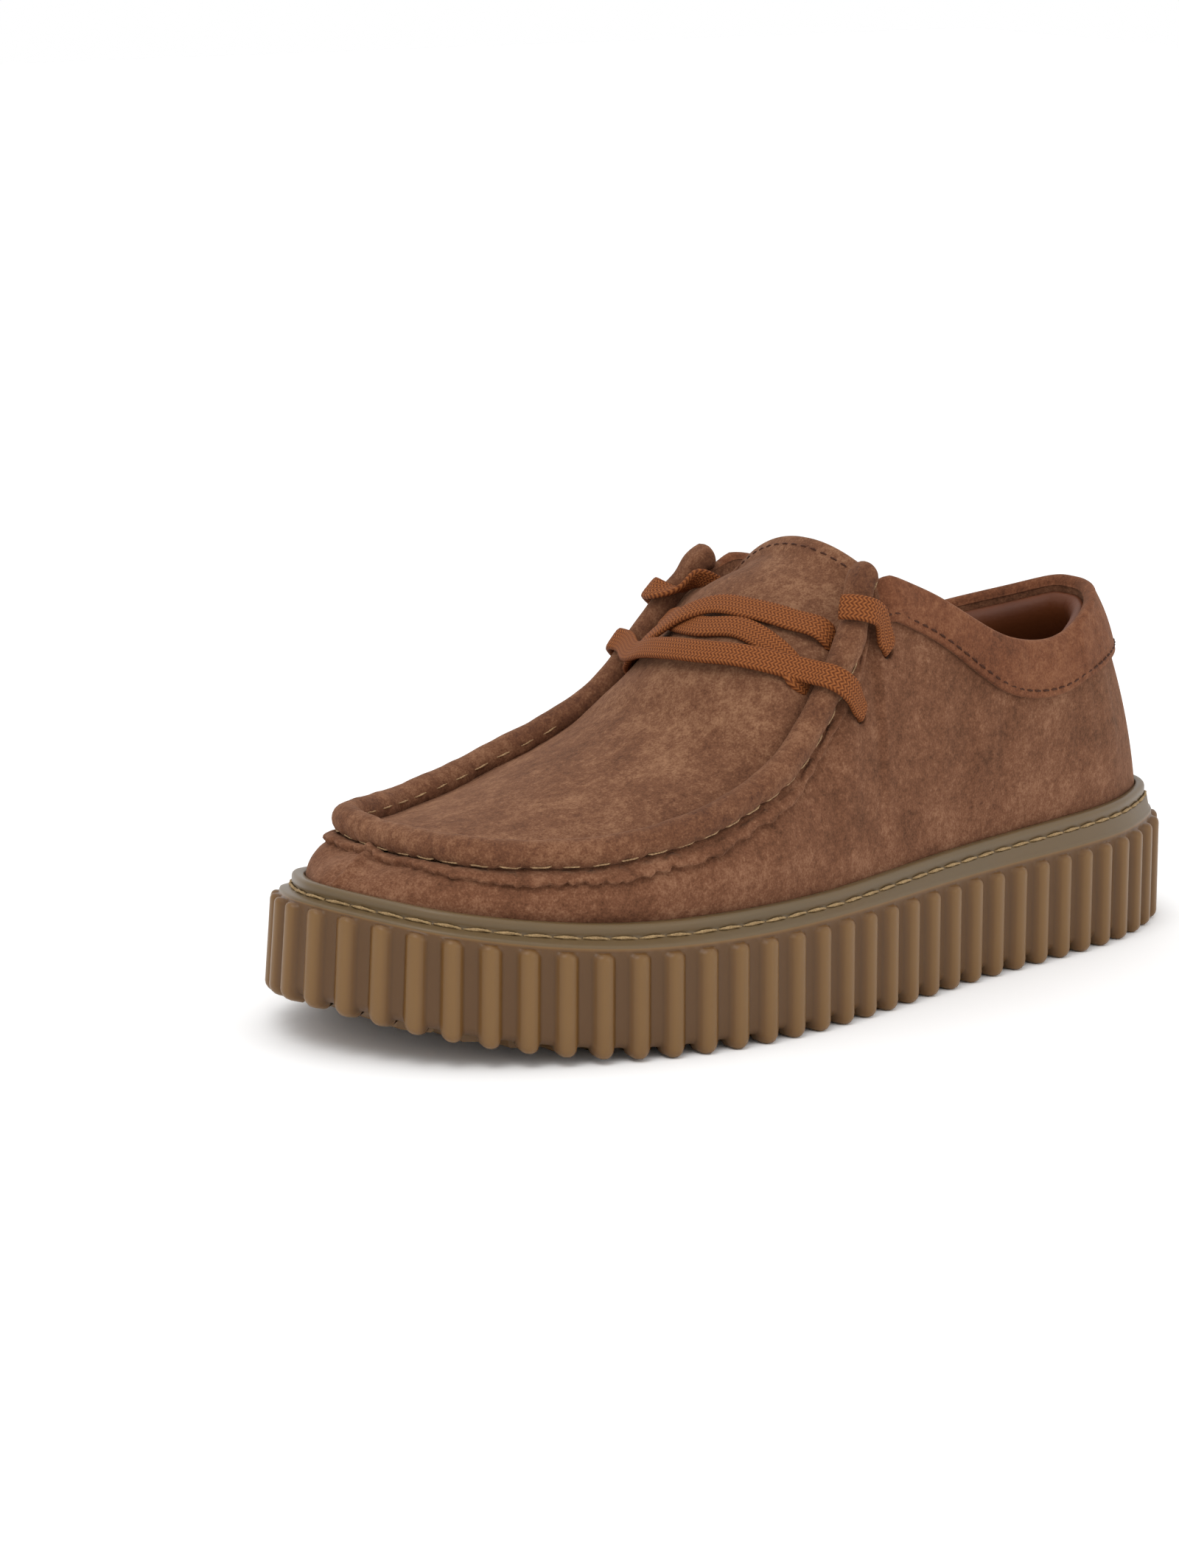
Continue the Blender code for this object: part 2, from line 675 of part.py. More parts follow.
def build_upper(paint):
    lengths = wall_stations()
    share = share_of(outline(lengths)[:, 0])
    size = wall_height(lengths)
    edge = 1.0 - STRIP_WIDTH / size
    raise_strip = STRIP_STEP * roll_share(lengths)
    columns = [floor_ring(lengths, upper_inset(share), GAP)]
    for part in (0.0, 0.25, 0.5, 0.75, 1.0):
        columns.append(wall_surface(lengths, edge * part))
    lift = edge + 2.0 * GAP / size
    columns.append(wall_surface(lengths, lift) + wall_normal(lengths, lift) * raise_strip[:, None])
    full = np.ones(len(lengths))
    columns.append(wall_surface(lengths, full) + wall_normal(lengths, full) * raise_strip[:, None])
    for part in (1.0, 0.75, 0.4, 0.0):
        level = full * part
        columns.append(wall_surface(lengths, level) - wall_normal(lengths, level) * WALL)
    columns.append(floor_ring(lengths, upper_inset(share) + WALL, GAP))
    rings = np.stack(columns, axis=1)
    made = sweep("upper", rings, paint, True)
    for medial in (False, True):
        for along, high in HOLES:
            cut(made, hole_cutter(along, high, medial, paint), "DIFFERENCE")
    return made


def wall_place(along, high, medial):
    """Length and level on the wall nearest to a place seen from the side."""
    lengths = np.linspace(foot_length(HOLE_SEARCH[0], medial), foot_length(HOLE_SEARCH[1], medial), 160)
    best = None
    for level in np.linspace(HOLE_LEVELS[0], HOLE_LEVELS[1], 71):
        points = wall_surface(lengths, level)
        away = np.hypot(points[:, 0] - x_of(along), points[:, 2] - high * INSTEP_HEIGHT)
        k = int(np.argmin(away))
        if best is None or away[k] < best[0]:
            best = (away[k], lengths[k], level)
    return best[1], best[2]


def hole_cutter(along, high, medial, paint):
    length, level = wall_place(along, high, medial)
    middle = wall_surface(length, level)[0]
    axis = Vector(wall_normal(length, level)[0])
    turn = axis.to_track_quat("Z", "Y").to_matrix()
    sides = HOLE_SIDES
    reach = 2.0 * WALL
    points = []
    for end in (-reach, reach):
        for k in range(sides):
            angle = 2.0 * math.pi * k / sides
            local = Vector((math.cos(angle), math.sin(angle), 0.0)) * 0.5 * HOLE_DIAMETER
            local.z = end
            points.append(tuple(Vector(middle) + turn @ local))
    faces = band_faces(0, sides, sides)
    faces.append(list(range(sides)))
    faces.append([sides + k for k in range(sides)])
    return add_object("hole_cutter", points, faces, paint)


# apron, tongue and seam roll


def side_length(share, medial):
    """Place along the outline whose top line point stands at a share of the length."""
    front = foot_length(LINING_FRONT_FOOT, medial)
    lengths = np.linspace(min(front, TOE_LENGTH), max(front, TOE_LENGTH), 600)
    shares = share_of(top_line(lengths)[:, 0])
    order = np.argsort(shares)
    return float(np.interp(share, shares[order], lengths[order]))


def apron_value(column, share):
    rows = APRON[::-1]
    return np.interp(share, [row[0] for row in rows], [row[column] for row in rows])


def apron_edge(share, medial):
    length = side_length(share, medial)
    centre, side, raised = top_frame(length)
    narrowing = apron_value(3, share) * BALL_WIDTH * (1.0 if medial else TONGUE_LATERAL)
    inset = 0.5 * ROLL_WIDTH + 2.0 * GAP + narrowing
    return (centre - side * inset + raised * apron_value(2, share) * INSTEP_HEIGHT)[0]


def apron_grid():
    """Outside of the apron and tongue, a row of points for every rung."""
    across = np.linspace(-1.0, 1.0, APRON_ACROSS + 1)
    blend = 0.5 * (across + 1.0)[:, None]
    dome = (1.0 - across ** 2)[:, None]
    rows = []
    for share in APRON_RUNGS:
        lateral = apron_edge(share, False)
        medial = apron_edge(share, True)
        lean = math.radians(apron_value(4, share))
        lift = np.array([-math.sin(lean), 0.0, math.cos(lean)])
        crown = apron_value(1, share) * INSTEP_HEIGHT
        rows.append(lateral + (medial - lateral) * blend + dome * lift * crown)
    return np.array(rows)


def grid_normals(grid):
    down = np.gradient(grid, axis=0)
    over = np.gradient(grid, axis=1)
    normal = np.cross(over, down)
    normal = normal / np.linalg.norm(normal, axis=2, keepdims=True)
    if normal[len(grid) // 2, grid.shape[1] // 2, 2] < 0.0:
        normal = -normal
    return normal


def build_apron(paint):
    outside = apron_grid()
    inside = outside - grid_normals(outside) * APRON_THICKNESS
    rings = [np.vstack([outside[i], inside[i][::-1]]) for i in range(len(outside))]
    return sweep("apron_tongue", rings, paint, False)


def roll_section(centre, side, raised, scale):
    section = []
    for k in range(ROLL_SIDES):
        angle = 2.0 * math.pi * (k + 0.5) / ROLL_SIDES
        wide = 0.5 * ROLL_WIDTH * scale * math.cos(angle)
        tall = 0.5 * ROLL_HEIGHT * scale * math.sin(angle)
        section.append(centre + side * wide + raised * tall)
    return section


def build_roll(paint):
    part = np.linspace(0.0, 1.0, ROLL_STATIONS)
    part = part - ROLL_CLUSTER * np.sin(2.0 * math.pi * part) / (2.0 * math.pi)
    lengths = ROLL_START + (ROLL_END - ROLL_START) * part
    centre, side, raised = top_frame(lengths)
    rings = [roll_section(centre[i], side[i], raised[i], 1.0) for i in range(len(lengths))]
    first = centre[0] + unit((centre[0] - centre[1])[None, :])[0] * ROLL_END_LENGTH
    last = centre[-1] + unit((centre[-1] - centre[-2])[None, :])[0] * ROLL_END_LENGTH
    rings.insert(0, roll_section(first, side[0], raised[0], ROLL_END_SCALE))
    rings.append(roll_section(last, side[-1], raised[-1], ROLL_END_SCALE))
    return sweep("apron_roll", rings, paint, False)


# lace


def tongue_place(grid, normals, share, across):
    """Point and normal of the tongue's outside."""
    row = np.interp(-share, [-rung for rung in APRON_RUNGS], np.arange(len(APRON_RUNGS)))
    column = 0.5 * (across + 1.0) * APRON_ACROSS
    i = int(min(row, len(APRON_RUNGS) - 2))
    k = int(min(column, APRON_ACROSS - 1))
    u = row - i
    v = column - k
    values = []
    for field in (grid, normals):
        near = field[i, k] * (1.0 - v) + field[i, k + 1] * v
        far = field[i + 1, k] * (1.0 - v) + field[i + 1, k + 1] * v
        values.append(near * (1.0 - u) + far * u)
    return values[0], values[1] / np.linalg.norm(values[1])


def over_tongue(places, lift):
    grid = apron_grid()
    normals = grid_normals(grid)
    stand = LACE_CLEAR + 0.5 * LACE_THICKNESS + lift
    path = []
    for share, across in places:
        point, normal = tongue_place(grid, normals, share, across)
        path.append((point + normal * stand, normal))
    return path


def over_roll(hole, share, medial, lift, roll_lift, angles):
    """Way of the lace from beside a hole over the seam roll, ending on its inner side."""
    along, high = HOLES[hole]
    length, level = wall_place(along, high, medial)
    stand = LACE_CLEAR + 0.5 * LACE_THICKNESS
    normal = wall_normal(length, level)[0]
    path = [(wall_surface(length, level)[0] + normal * (stand + lift), normal)]
    centre, side, raised = (value[0] for value in top_frame(side_length(share, medial)))
    for angle in angles:
        turn = math.radians(angle)
        wide = (0.5 * ROLL_WIDTH + stand + roll_lift) * math.cos(turn)
        tall = (0.5 * ROLL_HEIGHT + stand + roll_lift) * math.sin(turn)
        normal = side * math.cos(turn) + raised * math.sin(turn)
        path.append((centre + side * wide + raised * tall, normal))
    return path


def ribbon(name, path, paint):
    """Flat lace along points with normals."""
    points = np.array([step[0] for step in path])
    normals = np.array([step[1] for step in path])
    knots = np.append(0.0, np.cumsum(np.linalg.norm(np.diff(points, axis=0), axis=1)))
    places = np.linspace(0.0, knots[-1], LACE_STEPS * (len(path) - 1) + 1)
    smooth = smooth_open(knots, points, places)
    normal = unit(np.stack([np.interp(places, knots, normals[:, k]) for k in range(3)], axis=1))
    along = unit(np.gradient(smooth, axis=0))
    normal = unit(normal - along * np.sum(normal * along, axis=1, keepdims=True))
    wide = np.cross(normal, along) * 0.5 * LACE_WIDTH
    tall = normal * 0.5 * LACE_THICKNESS
    rings = np.stack([smooth - wide - tall, smooth + wide - tall, smooth + wide + tall, smooth - wide + tall], axis=1)
    return sweep(name, rings, paint, False)


def build_laces(paint):
    bar_lateral = over_roll(0, LACE_BAR_CROSSING[0], False, STRIP_STEP, 0.0, LACE_BAR_ANGLES)
    bar_medial = over_roll(0, LACE_BAR_CROSSING[1], True, STRIP_STEP, 0.0, LACE_BAR_ANGLES)
    bar = bar_lateral + over_tongue(LACE_BAR, LACE_BAR_LIFT) + bar_medial[::-1]
    made = ribbon("laces", bar, paint)
    cut(made, ribbon("rising", over_tongue(LACE_RISING, 0.0), paint), "UNION")
    cut(made, ribbon("falling", over_tongue(LACE_FALLING, 0.0), paint), "UNION")
    ribbon("lace_end_lateral", over_roll(1, LACE_END_CROSSING[0], False, LACE_END_LIFT, LACE_END_ROLL_LIFT, LACE_END_ANGLES), paint)
    ribbon("lace_end_medial", over_roll(1, LACE_END_CROSSING[1], True, LACE_END_LIFT, LACE_END_ROLL_LIFT, LACE_END_ANGLES), paint)
    return made


# collar


def collar_lengths(front):
    """Stations of the wall from the medial front of the collar round the heel to the lateral front."""
    start = foot_length(front, True)
    stop = foot_length(front, False) + PERIMETER
    stations = wall_stations()
    stations = np.append(stations, stations + PERIMETER)
    return stations[(stations > start - SPLINE_STEP) & (stations < stop + SPLINE_STEP)]


def build_band(paint):
    lengths = collar_lengths(BAND_FRONT_FOOT)
    share = share_of(outline(lengths)[:, 0])
    width = BAND_HEEL + (BAND_SIDE - BAND_HEEL) * np.clip(share / BAND_HEEL_SHARE, 0.0, 1.0)
    full = np.ones(len(lengths))
    low = 1.0 - width / wall_height(lengths)
    mid = 0.5 * (low + full)
    outer = BAND_CLEAR + BAND_THICKNESS
    rim = wall_surface(lengths, full)
    rim_out = wall_normal(lengths, full)
    upward = np.array([[0.0, 0.0, 1.0]])
    columns = []
    for level, stand in ((low, BAND_CLEAR), (low, outer), (mid, outer)):
        columns.append(wall_surface(lengths, level) + wall_normal(lengths, level) * stand)
    columns.append(rim + rim_out * outer - upward * BAND_CLEAR)
    columns.append(rim + rim_out * 0.5 * outer + upward * outer)
    columns.append(rim - rim_out * WALL + upward * outer)
    columns.append(rim - rim_out * (WALL + BAND_CLEAR) + upward * BAND_CLEAR)
    columns.append(rim + rim_out * BAND_CLEAR + upward * BAND_CLEAR)
    columns.append(wall_surface(lengths, mid) + wall_normal(lengths, mid) * BAND_CLEAR)
    return sweep("collar_band", np.stack(columns, axis=1), paint, False)


def build_lining(paint):
    lengths = collar_lengths(LINING_FRONT_FOOT)
    size = wall_height(lengths)
    columns = []
    backed = [(0.02, 0.0), (0.35, 0.0), (0.7, 0.0), (1.0, 0.0)]
    padded = [(0.95, LINING_EDGE), (0.6, 0.7 * LINING_THICK), (0.3, LINING_THICK), (0.08, LINING_THICK), (0.0, 0.5 * LINING_THICK)]
    for depth, thick in backed + padded:
        level = 1.0 - (LINING_TOP_DROP + depth * LINING_DEPTH) / size
        away = WALL + LINING_CLEAR + thick
        columns.append(wall_surface(lengths, level) - wall_normal(lengths, level) * away)
    return sweep("collar_lining", np.stack(columns, axis=1), paint, False)


def clear_scene():
    for item in list(bpy.data.objects):
        bpy.data.objects.remove(item, do_unlink=True)


def main():
    clear_scene()
    gum = material("gum_rubber", (0.17, 0.11, 0.05), 0.45)
    suede = material("brown_suede", (0.16, 0.065, 0.03), 0.9)
    apron_suede = material("apron_suede", (0.18, 0.075, 0.038), 0.9)
    roll_suede = material("roll_suede", (0.15, 0.06, 0.028), 0.9)
    band_suede = material("band_suede", (0.14, 0.055, 0.025), 0.9)
    lining = material("tan_leather", (0.22, 0.085, 0.035), 0.6)
    cotton = material("waxed_cotton", (0.45, 0.16, 0.05), 0.7)
    board = material("footbed_leather", (0.2, 0.09, 0.045), 0.7)
    build_outsole(gum)
    build_insole(board)
    build_upper(suede)
    build_apron(apron_suede)
    build_roll(roll_suede)
    build_band(band_suede)
    build_lining(lining)
    build_laces(cotton)


main()
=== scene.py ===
import math
import bpy
import bmesh
import numpy as np
from mathutils import Matrix, Vector


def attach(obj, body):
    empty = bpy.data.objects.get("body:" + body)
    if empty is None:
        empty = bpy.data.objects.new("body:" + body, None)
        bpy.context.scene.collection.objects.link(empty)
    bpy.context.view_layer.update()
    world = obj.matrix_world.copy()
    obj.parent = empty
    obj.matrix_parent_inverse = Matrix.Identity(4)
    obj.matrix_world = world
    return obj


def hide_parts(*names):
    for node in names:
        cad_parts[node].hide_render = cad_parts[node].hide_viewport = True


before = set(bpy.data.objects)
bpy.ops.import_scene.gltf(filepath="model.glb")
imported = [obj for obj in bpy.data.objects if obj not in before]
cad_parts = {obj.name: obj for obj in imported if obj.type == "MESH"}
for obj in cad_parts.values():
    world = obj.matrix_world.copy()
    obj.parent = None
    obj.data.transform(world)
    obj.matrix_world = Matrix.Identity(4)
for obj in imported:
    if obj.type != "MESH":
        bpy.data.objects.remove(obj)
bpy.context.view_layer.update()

# lace-up shoe, left foot, in metres: heel at +X, toe at -X, medial side at +Y
# a share counts from 0 at the heel to 1 at the toe, and a length runs along the sole's outline
# from the heel, down the lateral side to the toe and back up the medial side

shoe = {
    "length": 0.300,
    "ballWidth": 0.1164,
    "instepHeight": 0.116,
    "gap": 0.0003,
}

sole = {
    "lipHeight": 0.0392,
    "ribTopHeel": 0.0300,
    "ribTopToe": 0.0273,
    "ledgeRise": 0.0019,
    "grooveDrop": 0.0036,
    "lipRound": 0.0012,
    "floorHeel": 0.0240,
    "floorBall": 0.0150,
    "floorBallShare": 0.65,
    "toeSpring": 0.0131,
    "springStart": 0.72,
    "springUpperShare": 0.85,
    "ribRelief": 0.0025,
    "ledgeInsetHeel": 0.0028,
    "ledgeInsetToe": 0.0037,
    "lipInsetHeel": 0.0050,
    "lipInsetToe": 0.0070,
    "ribPitch": 0.0100,
    "ribDome": 0.0022,
    "ribEdgeRadius": 0.0024,
    "ribUnderReach": 0.0070,
    "treadDepth": 0.0025,
    "treadRing": 0.0110,
    "treadBarWidth": 0.0052,
}

upper = {
    "wall": 0.0020,
    "stripStep": 0.0009,
    "upperInsetHeel": 0.0080,
    "upperInsetToe": 0.0107,
}

apron = {
    "thickness": 0.0020,
    "tongueLateral": 0.15,
}

roll = {
    "width": 0.0080,
    "height": 0.0078,
    "fade": 0.0050,
    "endLength": 0.0023,
}

band = {
    "thickness": 0.0013,
    "heel": 0.0195,
    "heelShare": 0.15,
    "frontFoot": 0.4445,
    "clear": 0.0005,
}

lining = {
    "frontFoot": 0.415,
    "depth": 0.0270,
    "thick": 0.0050,
    "topDrop": 0.0010,
    "clear": 0.0008,
}

footbed = {
    "thickness": 0.0040,
}

lace = {
    "holeDiameter": 0.0046,
    "width": 0.0070,
    "thickness": 0.0020,
}

# sole outline: share of length from heel, lateral and medial half width as shares of ball width
outlineTable = [
    (0.02, 0.136, 0.146),
    (0.05, 0.198, 0.215),
    (0.10, 0.267, 0.284),
    (0.20, 0.334, 0.330),
    (0.30, 0.370, 0.336),
    (0.40, 0.417, 0.346),
    (0.50, 0.476, 0.384),
    (0.60, 0.520, 0.434),
    (0.68, 0.525, 0.462),
    (0.75, 0.499, 0.472),
    (0.82, 0.447, 0.464),
    (0.90, 0.346, 0.412),
    (0.95, 0.246, 0.330),
    (0.98, 0.109, 0.227),
]

# the foremost point of the sole stands this far to the medial side, as a share of ball width
toeTipMedial = 0.100

# top line of the upper: share of length of its foot on the sole, share of length of the top,
# lateral and medial half width as shares of ball width, lateral and medial height as shares
# of instep height; from row collarRows on it is the centre line of the seam roll
topLineTable = [
    (0.020, 0.104, 0.060, 0.069, 0.845, 0.840),
    (0.050, 0.124, 0.129, 0.125, 0.838, 0.819),
    (0.100, 0.161, 0.204, 0.210, 0.814, 0.786),
    (0.170, 0.200, 0.241, 0.252, 0.778, 0.764),
    (0.240, 0.247, 0.266, 0.272, 0.770, 0.762),
    (0.300, 0.293, 0.275, 0.282, 0.796, 0.793),
    (0.350, 0.333, 0.279, 0.286, 0.845, 0.838),
    (0.395, 0.378, 0.275, 0.284, 0.909, 0.900),
    (0.430, 0.420, 0.270, 0.282, 0.957, 0.946),
    (0.455, 0.465, 0.269, 0.286, 0.982, 0.945),
    (0.480, 0.483, 0.289, 0.306, 0.893, 0.893),
    (0.505, 0.507, 0.317, 0.332, 0.809, 0.809),
    (0.533, 0.532, 0.332, 0.343, 0.728, 0.728),
    (0.563, 0.560, 0.348, 0.355, 0.652, 0.652),
    (0.600, 0.598, 0.377, 0.378, 0.587, 0.587),
    (0.643, 0.640, 0.390, 0.390, 0.541, 0.541),
    (0.690, 0.684, 0.398, 0.398, 0.506, 0.506),
    (0.735, 0.724, 0.385, 0.387, 0.480, 0.480),
    (0.780, 0.761, 0.357, 0.374, 0.463, 0.463),
    (0.825, 0.797, 0.325, 0.356, 0.452, 0.452),
    (0.865, 0.830, 0.280, 0.324, 0.451, 0.451),
    (0.905, 0.862, 0.233, 0.293, 0.453, 0.453),
    (0.945, 0.888, 0.169, 0.249, 0.459, 0.459),
    (0.980, 0.899, 0.060, 0.163, 0.458, 0.458),
]

collarRows = 9

# the top line's points on the heel and the toe, in the same shares
heelTop = (0.097, 0.009, 0.846)

toeTop = (0.902, 0.069, 0.457)

# height of the sole lip: share of length, share of its height at the heel
lipLine = [(0.0, 1.0), (0.2, 0.980), (0.4, 0.939), (0.55, 0.903), (0.7, 0.893), (1.0, 0.865)]

# belly of the upper wall: share of length, size as share of instep height
bellyTable = [(0.0, 0.022), (0.25, 0.012), (0.50, 0.016), (0.75, 0.026), (1.0, 0.022)]

# apron and tongue: share of length, crown and rise of the edge as shares of instep height,
# how far the edge stands in from the seam roll as share of ball width, lean of the crown in degrees
apronTable = [
    (0.890, 0.012, -0.014, 0.000, 0.0),
    (0.840, 0.032, -0.014, 0.000, 1.0),
    (0.775, 0.056, -0.014, 0.000, 4.0),
    (0.735, 0.068, -0.014, 0.000, 8.0),
    (0.690, 0.078, -0.014, 0.000, 11.0),
    (0.648, 0.087, -0.014, 0.000, 18.0),
    (0.609, 0.096, -0.007, 0.006, 26.0),
    (0.572, 0.095, 0.026, 0.048, 34.0),
    (0.537, 0.088, 0.050, 0.085, 38.0),
    (0.511, 0.083, 0.020, 0.078, 37.0),
    (0.485, 0.082, -0.016, 0.052, 34.0),
    (0.460, 0.084, -0.052, 0.032, 28.0),
    (0.443, 0.077, -0.008, 0.041, 20.0),
]

# shares of length at which the sheet's cross lines are laid
apronRungs = [
    0.890, 0.878, 0.860, 0.840, 0.810, 0.775, 0.735, 0.690, 0.648,
    0.609, 0.590, 0.572, 0.554, 0.537, 0.511, 0.485, 0.460, 0.443,
]

# lace holes: share of length and share of instep height on the outside of the wall
holes = [(0.492, 0.675), (0.448, 0.805)]

# where a hole's place on the wall is looked for: shares of length and of the wall's height
holeSearch = {"shares": (0.30, 0.65), "levels": (0.30, 1.00), "steps": 160, "levelSteps": 71}

fine = {"splineStep": 1e-4, "normalStep": 0.0030, "levelStep": 1e-3, "outlineCount": 4000, "sideCount": 600}

heelSide = 0.5 * shoe["length"]


def xOf(share):
    return heelSide - share * shoe["length"]


def shareOf(x):
    return (heelSide - x) / shoe["length"]


def curveBend(knots, period, values):
    count = len(knots)
    step = np.diff(np.append(knots, knots[0] + period))
    matrix = np.zeros((count, count))
    right = np.zeros(values.shape)
    for i in range(count):
        after = step[i]
        before = step[i - 1]
        ahead = (i + 1) % count
        matrix[i, i - 1] += before
        matrix[i, i] += 2.0 * (before + after)
        matrix[i, ahead] += after
        right[i] = 6.0 * ((values[ahead] - values[i]) / after - (values[i] - values[i - 1]) / before)
    return np.linalg.solve(matrix, right)


def closedCurve(knots, period, values, where):
    bend = curveBend(knots, period, values)
    place = np.mod(np.atleast_1d(np.asarray(where, float)) - knots[0], period) + knots[0]
    index = np.searchsorted(knots, place, side="right") - 1
    ahead = (index + 1) % len(knots)
    step = np.diff(np.append(knots, knots[0] + period))[index]
    near = ((knots[index] + step - place) / step)[:, None]
    far = 1.0 - near
    cubic = (near ** 3 - near) * bend[index] + (far ** 3 - far) * bend[ahead]
    return near * values[index] + far * values[ahead] + cubic * (step ** 2)[:, None] / 6.0


def outlinePoints():
    points = [(heelSide, 0.0)]
    for share, lateral, medial in outlineTable:
        points.append((xOf(share), -lateral * shoe["ballWidth"]))
    points.append((-heelSide, toeTipMedial * shoe["ballWidth"]))
    for share, lateral, medial in reversed(outlineTable):
        points.append((xOf(share), medial * shoe["ballWidth"]))
    return np.array(points)


outlineCorners = outlinePoints()
chords = np.linalg.norm(np.roll(outlineCorners, -1, axis=0) - outlineCorners, axis=1)
outlineKnots = np.append(0.0, np.cumsum(chords)[:-1])
outlinePeriod = float(chords.sum())
densePlace = np.linspace(0.0, outlinePeriod, fine["outlineCount"])
densePoints = closedCurve(outlineKnots, outlinePeriod, outlineCorners, densePlace[:-1])
densePoints = np.vstack([densePoints, densePoints[:1]])
denseLength = np.append(0.0, np.cumsum(np.linalg.norm(np.diff(densePoints, axis=0), axis=1)))
perimeter = float(denseLength[-1])
toeLength = float(np.interp(outlineKnots[len(outlineTable) + 1], densePlace, denseLength))
centreX = 0.5 * float(densePoints[:, 0].max() + densePoints[:, 0].min())
centreY = 0.5 * float(densePoints[:, 1].max() + densePoints[:, 1].min())


def outline(length):
    place = np.interp(np.mod(np.atleast_1d(length), perimeter), denseLength, densePlace)
    return closedCurve(outlineKnots, outlinePeriod, outlineCorners, place)


def outward(length):
    length = np.atleast_1d(length)
    along = outline(length + fine["splineStep"]) - outline(length - fine["splineStep"])
    across = np.stack([-along[:, 1], along[:, 0]], axis=1)
    return across / np.linalg.norm(across, axis=1, keepdims=True)


def footLength(share, medial):
    denseShare = shareOf(densePoints[:, 0])
    side = denseLength >= toeLength if medial else denseLength <= toeLength
    shares = denseShare[side]
    lengths = denseLength[side]
    order = np.argsort(shares)
    return float(np.interp(share, shares[order], lengths[order]))


def spring(share):
    rise = np.clip((np.asarray(share) - sole["springStart"]) / (1.0 - sole["springStart"]), 0.0, 1.0)
    return sole["toeSpring"] * rise ** 2


def between(heel, toe, share):
    return heel + (toe - heel) * np.asarray(share)


def betweenSquared(heel, toe, share):
    return heel + (toe - heel) * np.asarray(share) ** 2


def ring(lengths, inset, height, springShare=1.0):
    base = outline(lengths)
    level = base - outward(lengths) * np.reshape(inset * np.ones(len(lengths)), (-1, 1))
    rise = height + springShare * spring(shareOf(level[:, 0]))
    return np.column_stack([level, rise])


def floorHeight(share):
    ball = np.clip(np.asarray(share) / sole["floorBallShare"], 0.0, 1.0)
    return sole["floorHeel"] + (sole["floorBall"] - sole["floorHeel"]) * ball * ball * (3.0 - 2.0 * ball)


def upperInset(share):
    return betweenSquared(upper["upperInsetHeel"], upper["upperInsetToe"], share)


def floorRing(lengths, inset, height):
    level = outline(lengths) - outward(lengths) * np.reshape(inset * np.ones(len(lengths)), (-1, 1))
    share = shareOf(level[:, 0])
    rise = floorHeight(share) + height + sole["springUpperShare"] * spring(share)
    return np.column_stack([level, rise])


def ribRow(lengths, swell, baseInset, baseHeight, ribInset, ribHeight):
    # swell is nought between the ribs and one on their crests
    inset = baseInset + (ribInset - baseInset) * swell
    height = baseHeight + (ribHeight - baseHeight) * swell
    top = np.clip(height / sole["lipHeight"], 0.0, 1.0)
    return ring(lengths, inset, height, 1.0 - (1.0 - sole["springUpperShare"]) * top)


def ribTop(share):
    return between(sole["ribTopHeel"], sole["ribTopToe"], share)


def ledgeInset(share):
    return betweenSquared(sole["ledgeInsetHeel"], sole["ledgeInsetToe"], share)


def lipInset(share):
    return betweenSquared(sole["lipInsetHeel"], sole["lipInsetToe"], share)


def lipTop(share):
    return sole["lipHeight"] * np.interp(share, [row[0] for row in lipLine], [row[1] for row in lipLine])


def topRows():
    knots = [0.0]
    values = [(xOf(heelTop[0]), heelTop[1] * shoe["ballWidth"], heelTop[2] * shoe["instepHeight"])]
    for foot, along, lateral, medial, low, high in topLineTable:
        knots.append(footLength(foot, False))
        values.append((xOf(along), -lateral * shoe["ballWidth"], low * shoe["instepHeight"]))
    knots.append(toeLength)
    values.append((xOf(toeTop[0]), toeTop[1] * shoe["ballWidth"], toeTop[2] * shoe["instepHeight"]))
    for foot, along, lateral, medial, low, high in reversed(topLineTable):
        knots.append(footLength(foot, True))
        values.append((xOf(along), medial * shoe["ballWidth"], high * shoe["instepHeight"]))
    return np.array(knots), np.array(values)


topKnots, topValues = topRows()
rollStart = float(topKnots[collarRows + 1])
rollEnd = float(topKnots[len(topKnots) - collarRows - 1])


def topLine(lengths):
    return closedCurve(topKnots, perimeter, topValues, lengths)


def smoothOpen(knots, values, where):
    slope = np.gradient(values, knots, axis=0)
    index = np.clip(np.searchsorted(knots, where, side="right") - 1, 0, len(knots) - 2)
    step = (knots[index + 1] - knots[index])[:, None]
    part = (where - knots[index])[:, None] / step
    near = (1.0 + 2.0 * part) * (1.0 - part) ** 2
    far = part ** 2 * (3.0 - 2.0 * part)
    leave = part * (1.0 - part) ** 2 * step
    arrive = part ** 2 * (part - 1.0) * step
    bent = leave * slope[index] + arrive * slope[index + 1]
    return near * values[index] + far * values[index + 1] + bent


def unit(vectors):
    return vectors / np.linalg.norm(vectors, axis=1, keepdims=True)


def topFrame(lengths):
    lengths = np.atleast_1d(lengths)
    centre = topLine(lengths)
    along = unit(topLine(lengths + fine["splineStep"]) - topLine(lengths - fine["splineStep"]))
    side = unit(np.stack([-along[:, 1], along[:, 0], 0.0 * along[:, 0]], axis=1))
    raised = unit(np.cross(along, side))
    return centre, side, raised


def rollShare(lengths):
    lengths = np.mod(np.atleast_1d(lengths), perimeter)
    rising = np.clip((lengths - rollStart + roll["fade"]) / roll["fade"], 0.0, 1.0)
    falling = np.clip((rollEnd + roll["fade"] - lengths) / roll["fade"], 0.0, 1.0)
    return np.minimum(rising, falling)


def wallFoot(lengths):
    lengths = np.atleast_1d(lengths)
    share = shareOf(outline(lengths)[:, 0])
    return ring(lengths, upperInset(share), lipTop(share), sole["springUpperShare"])


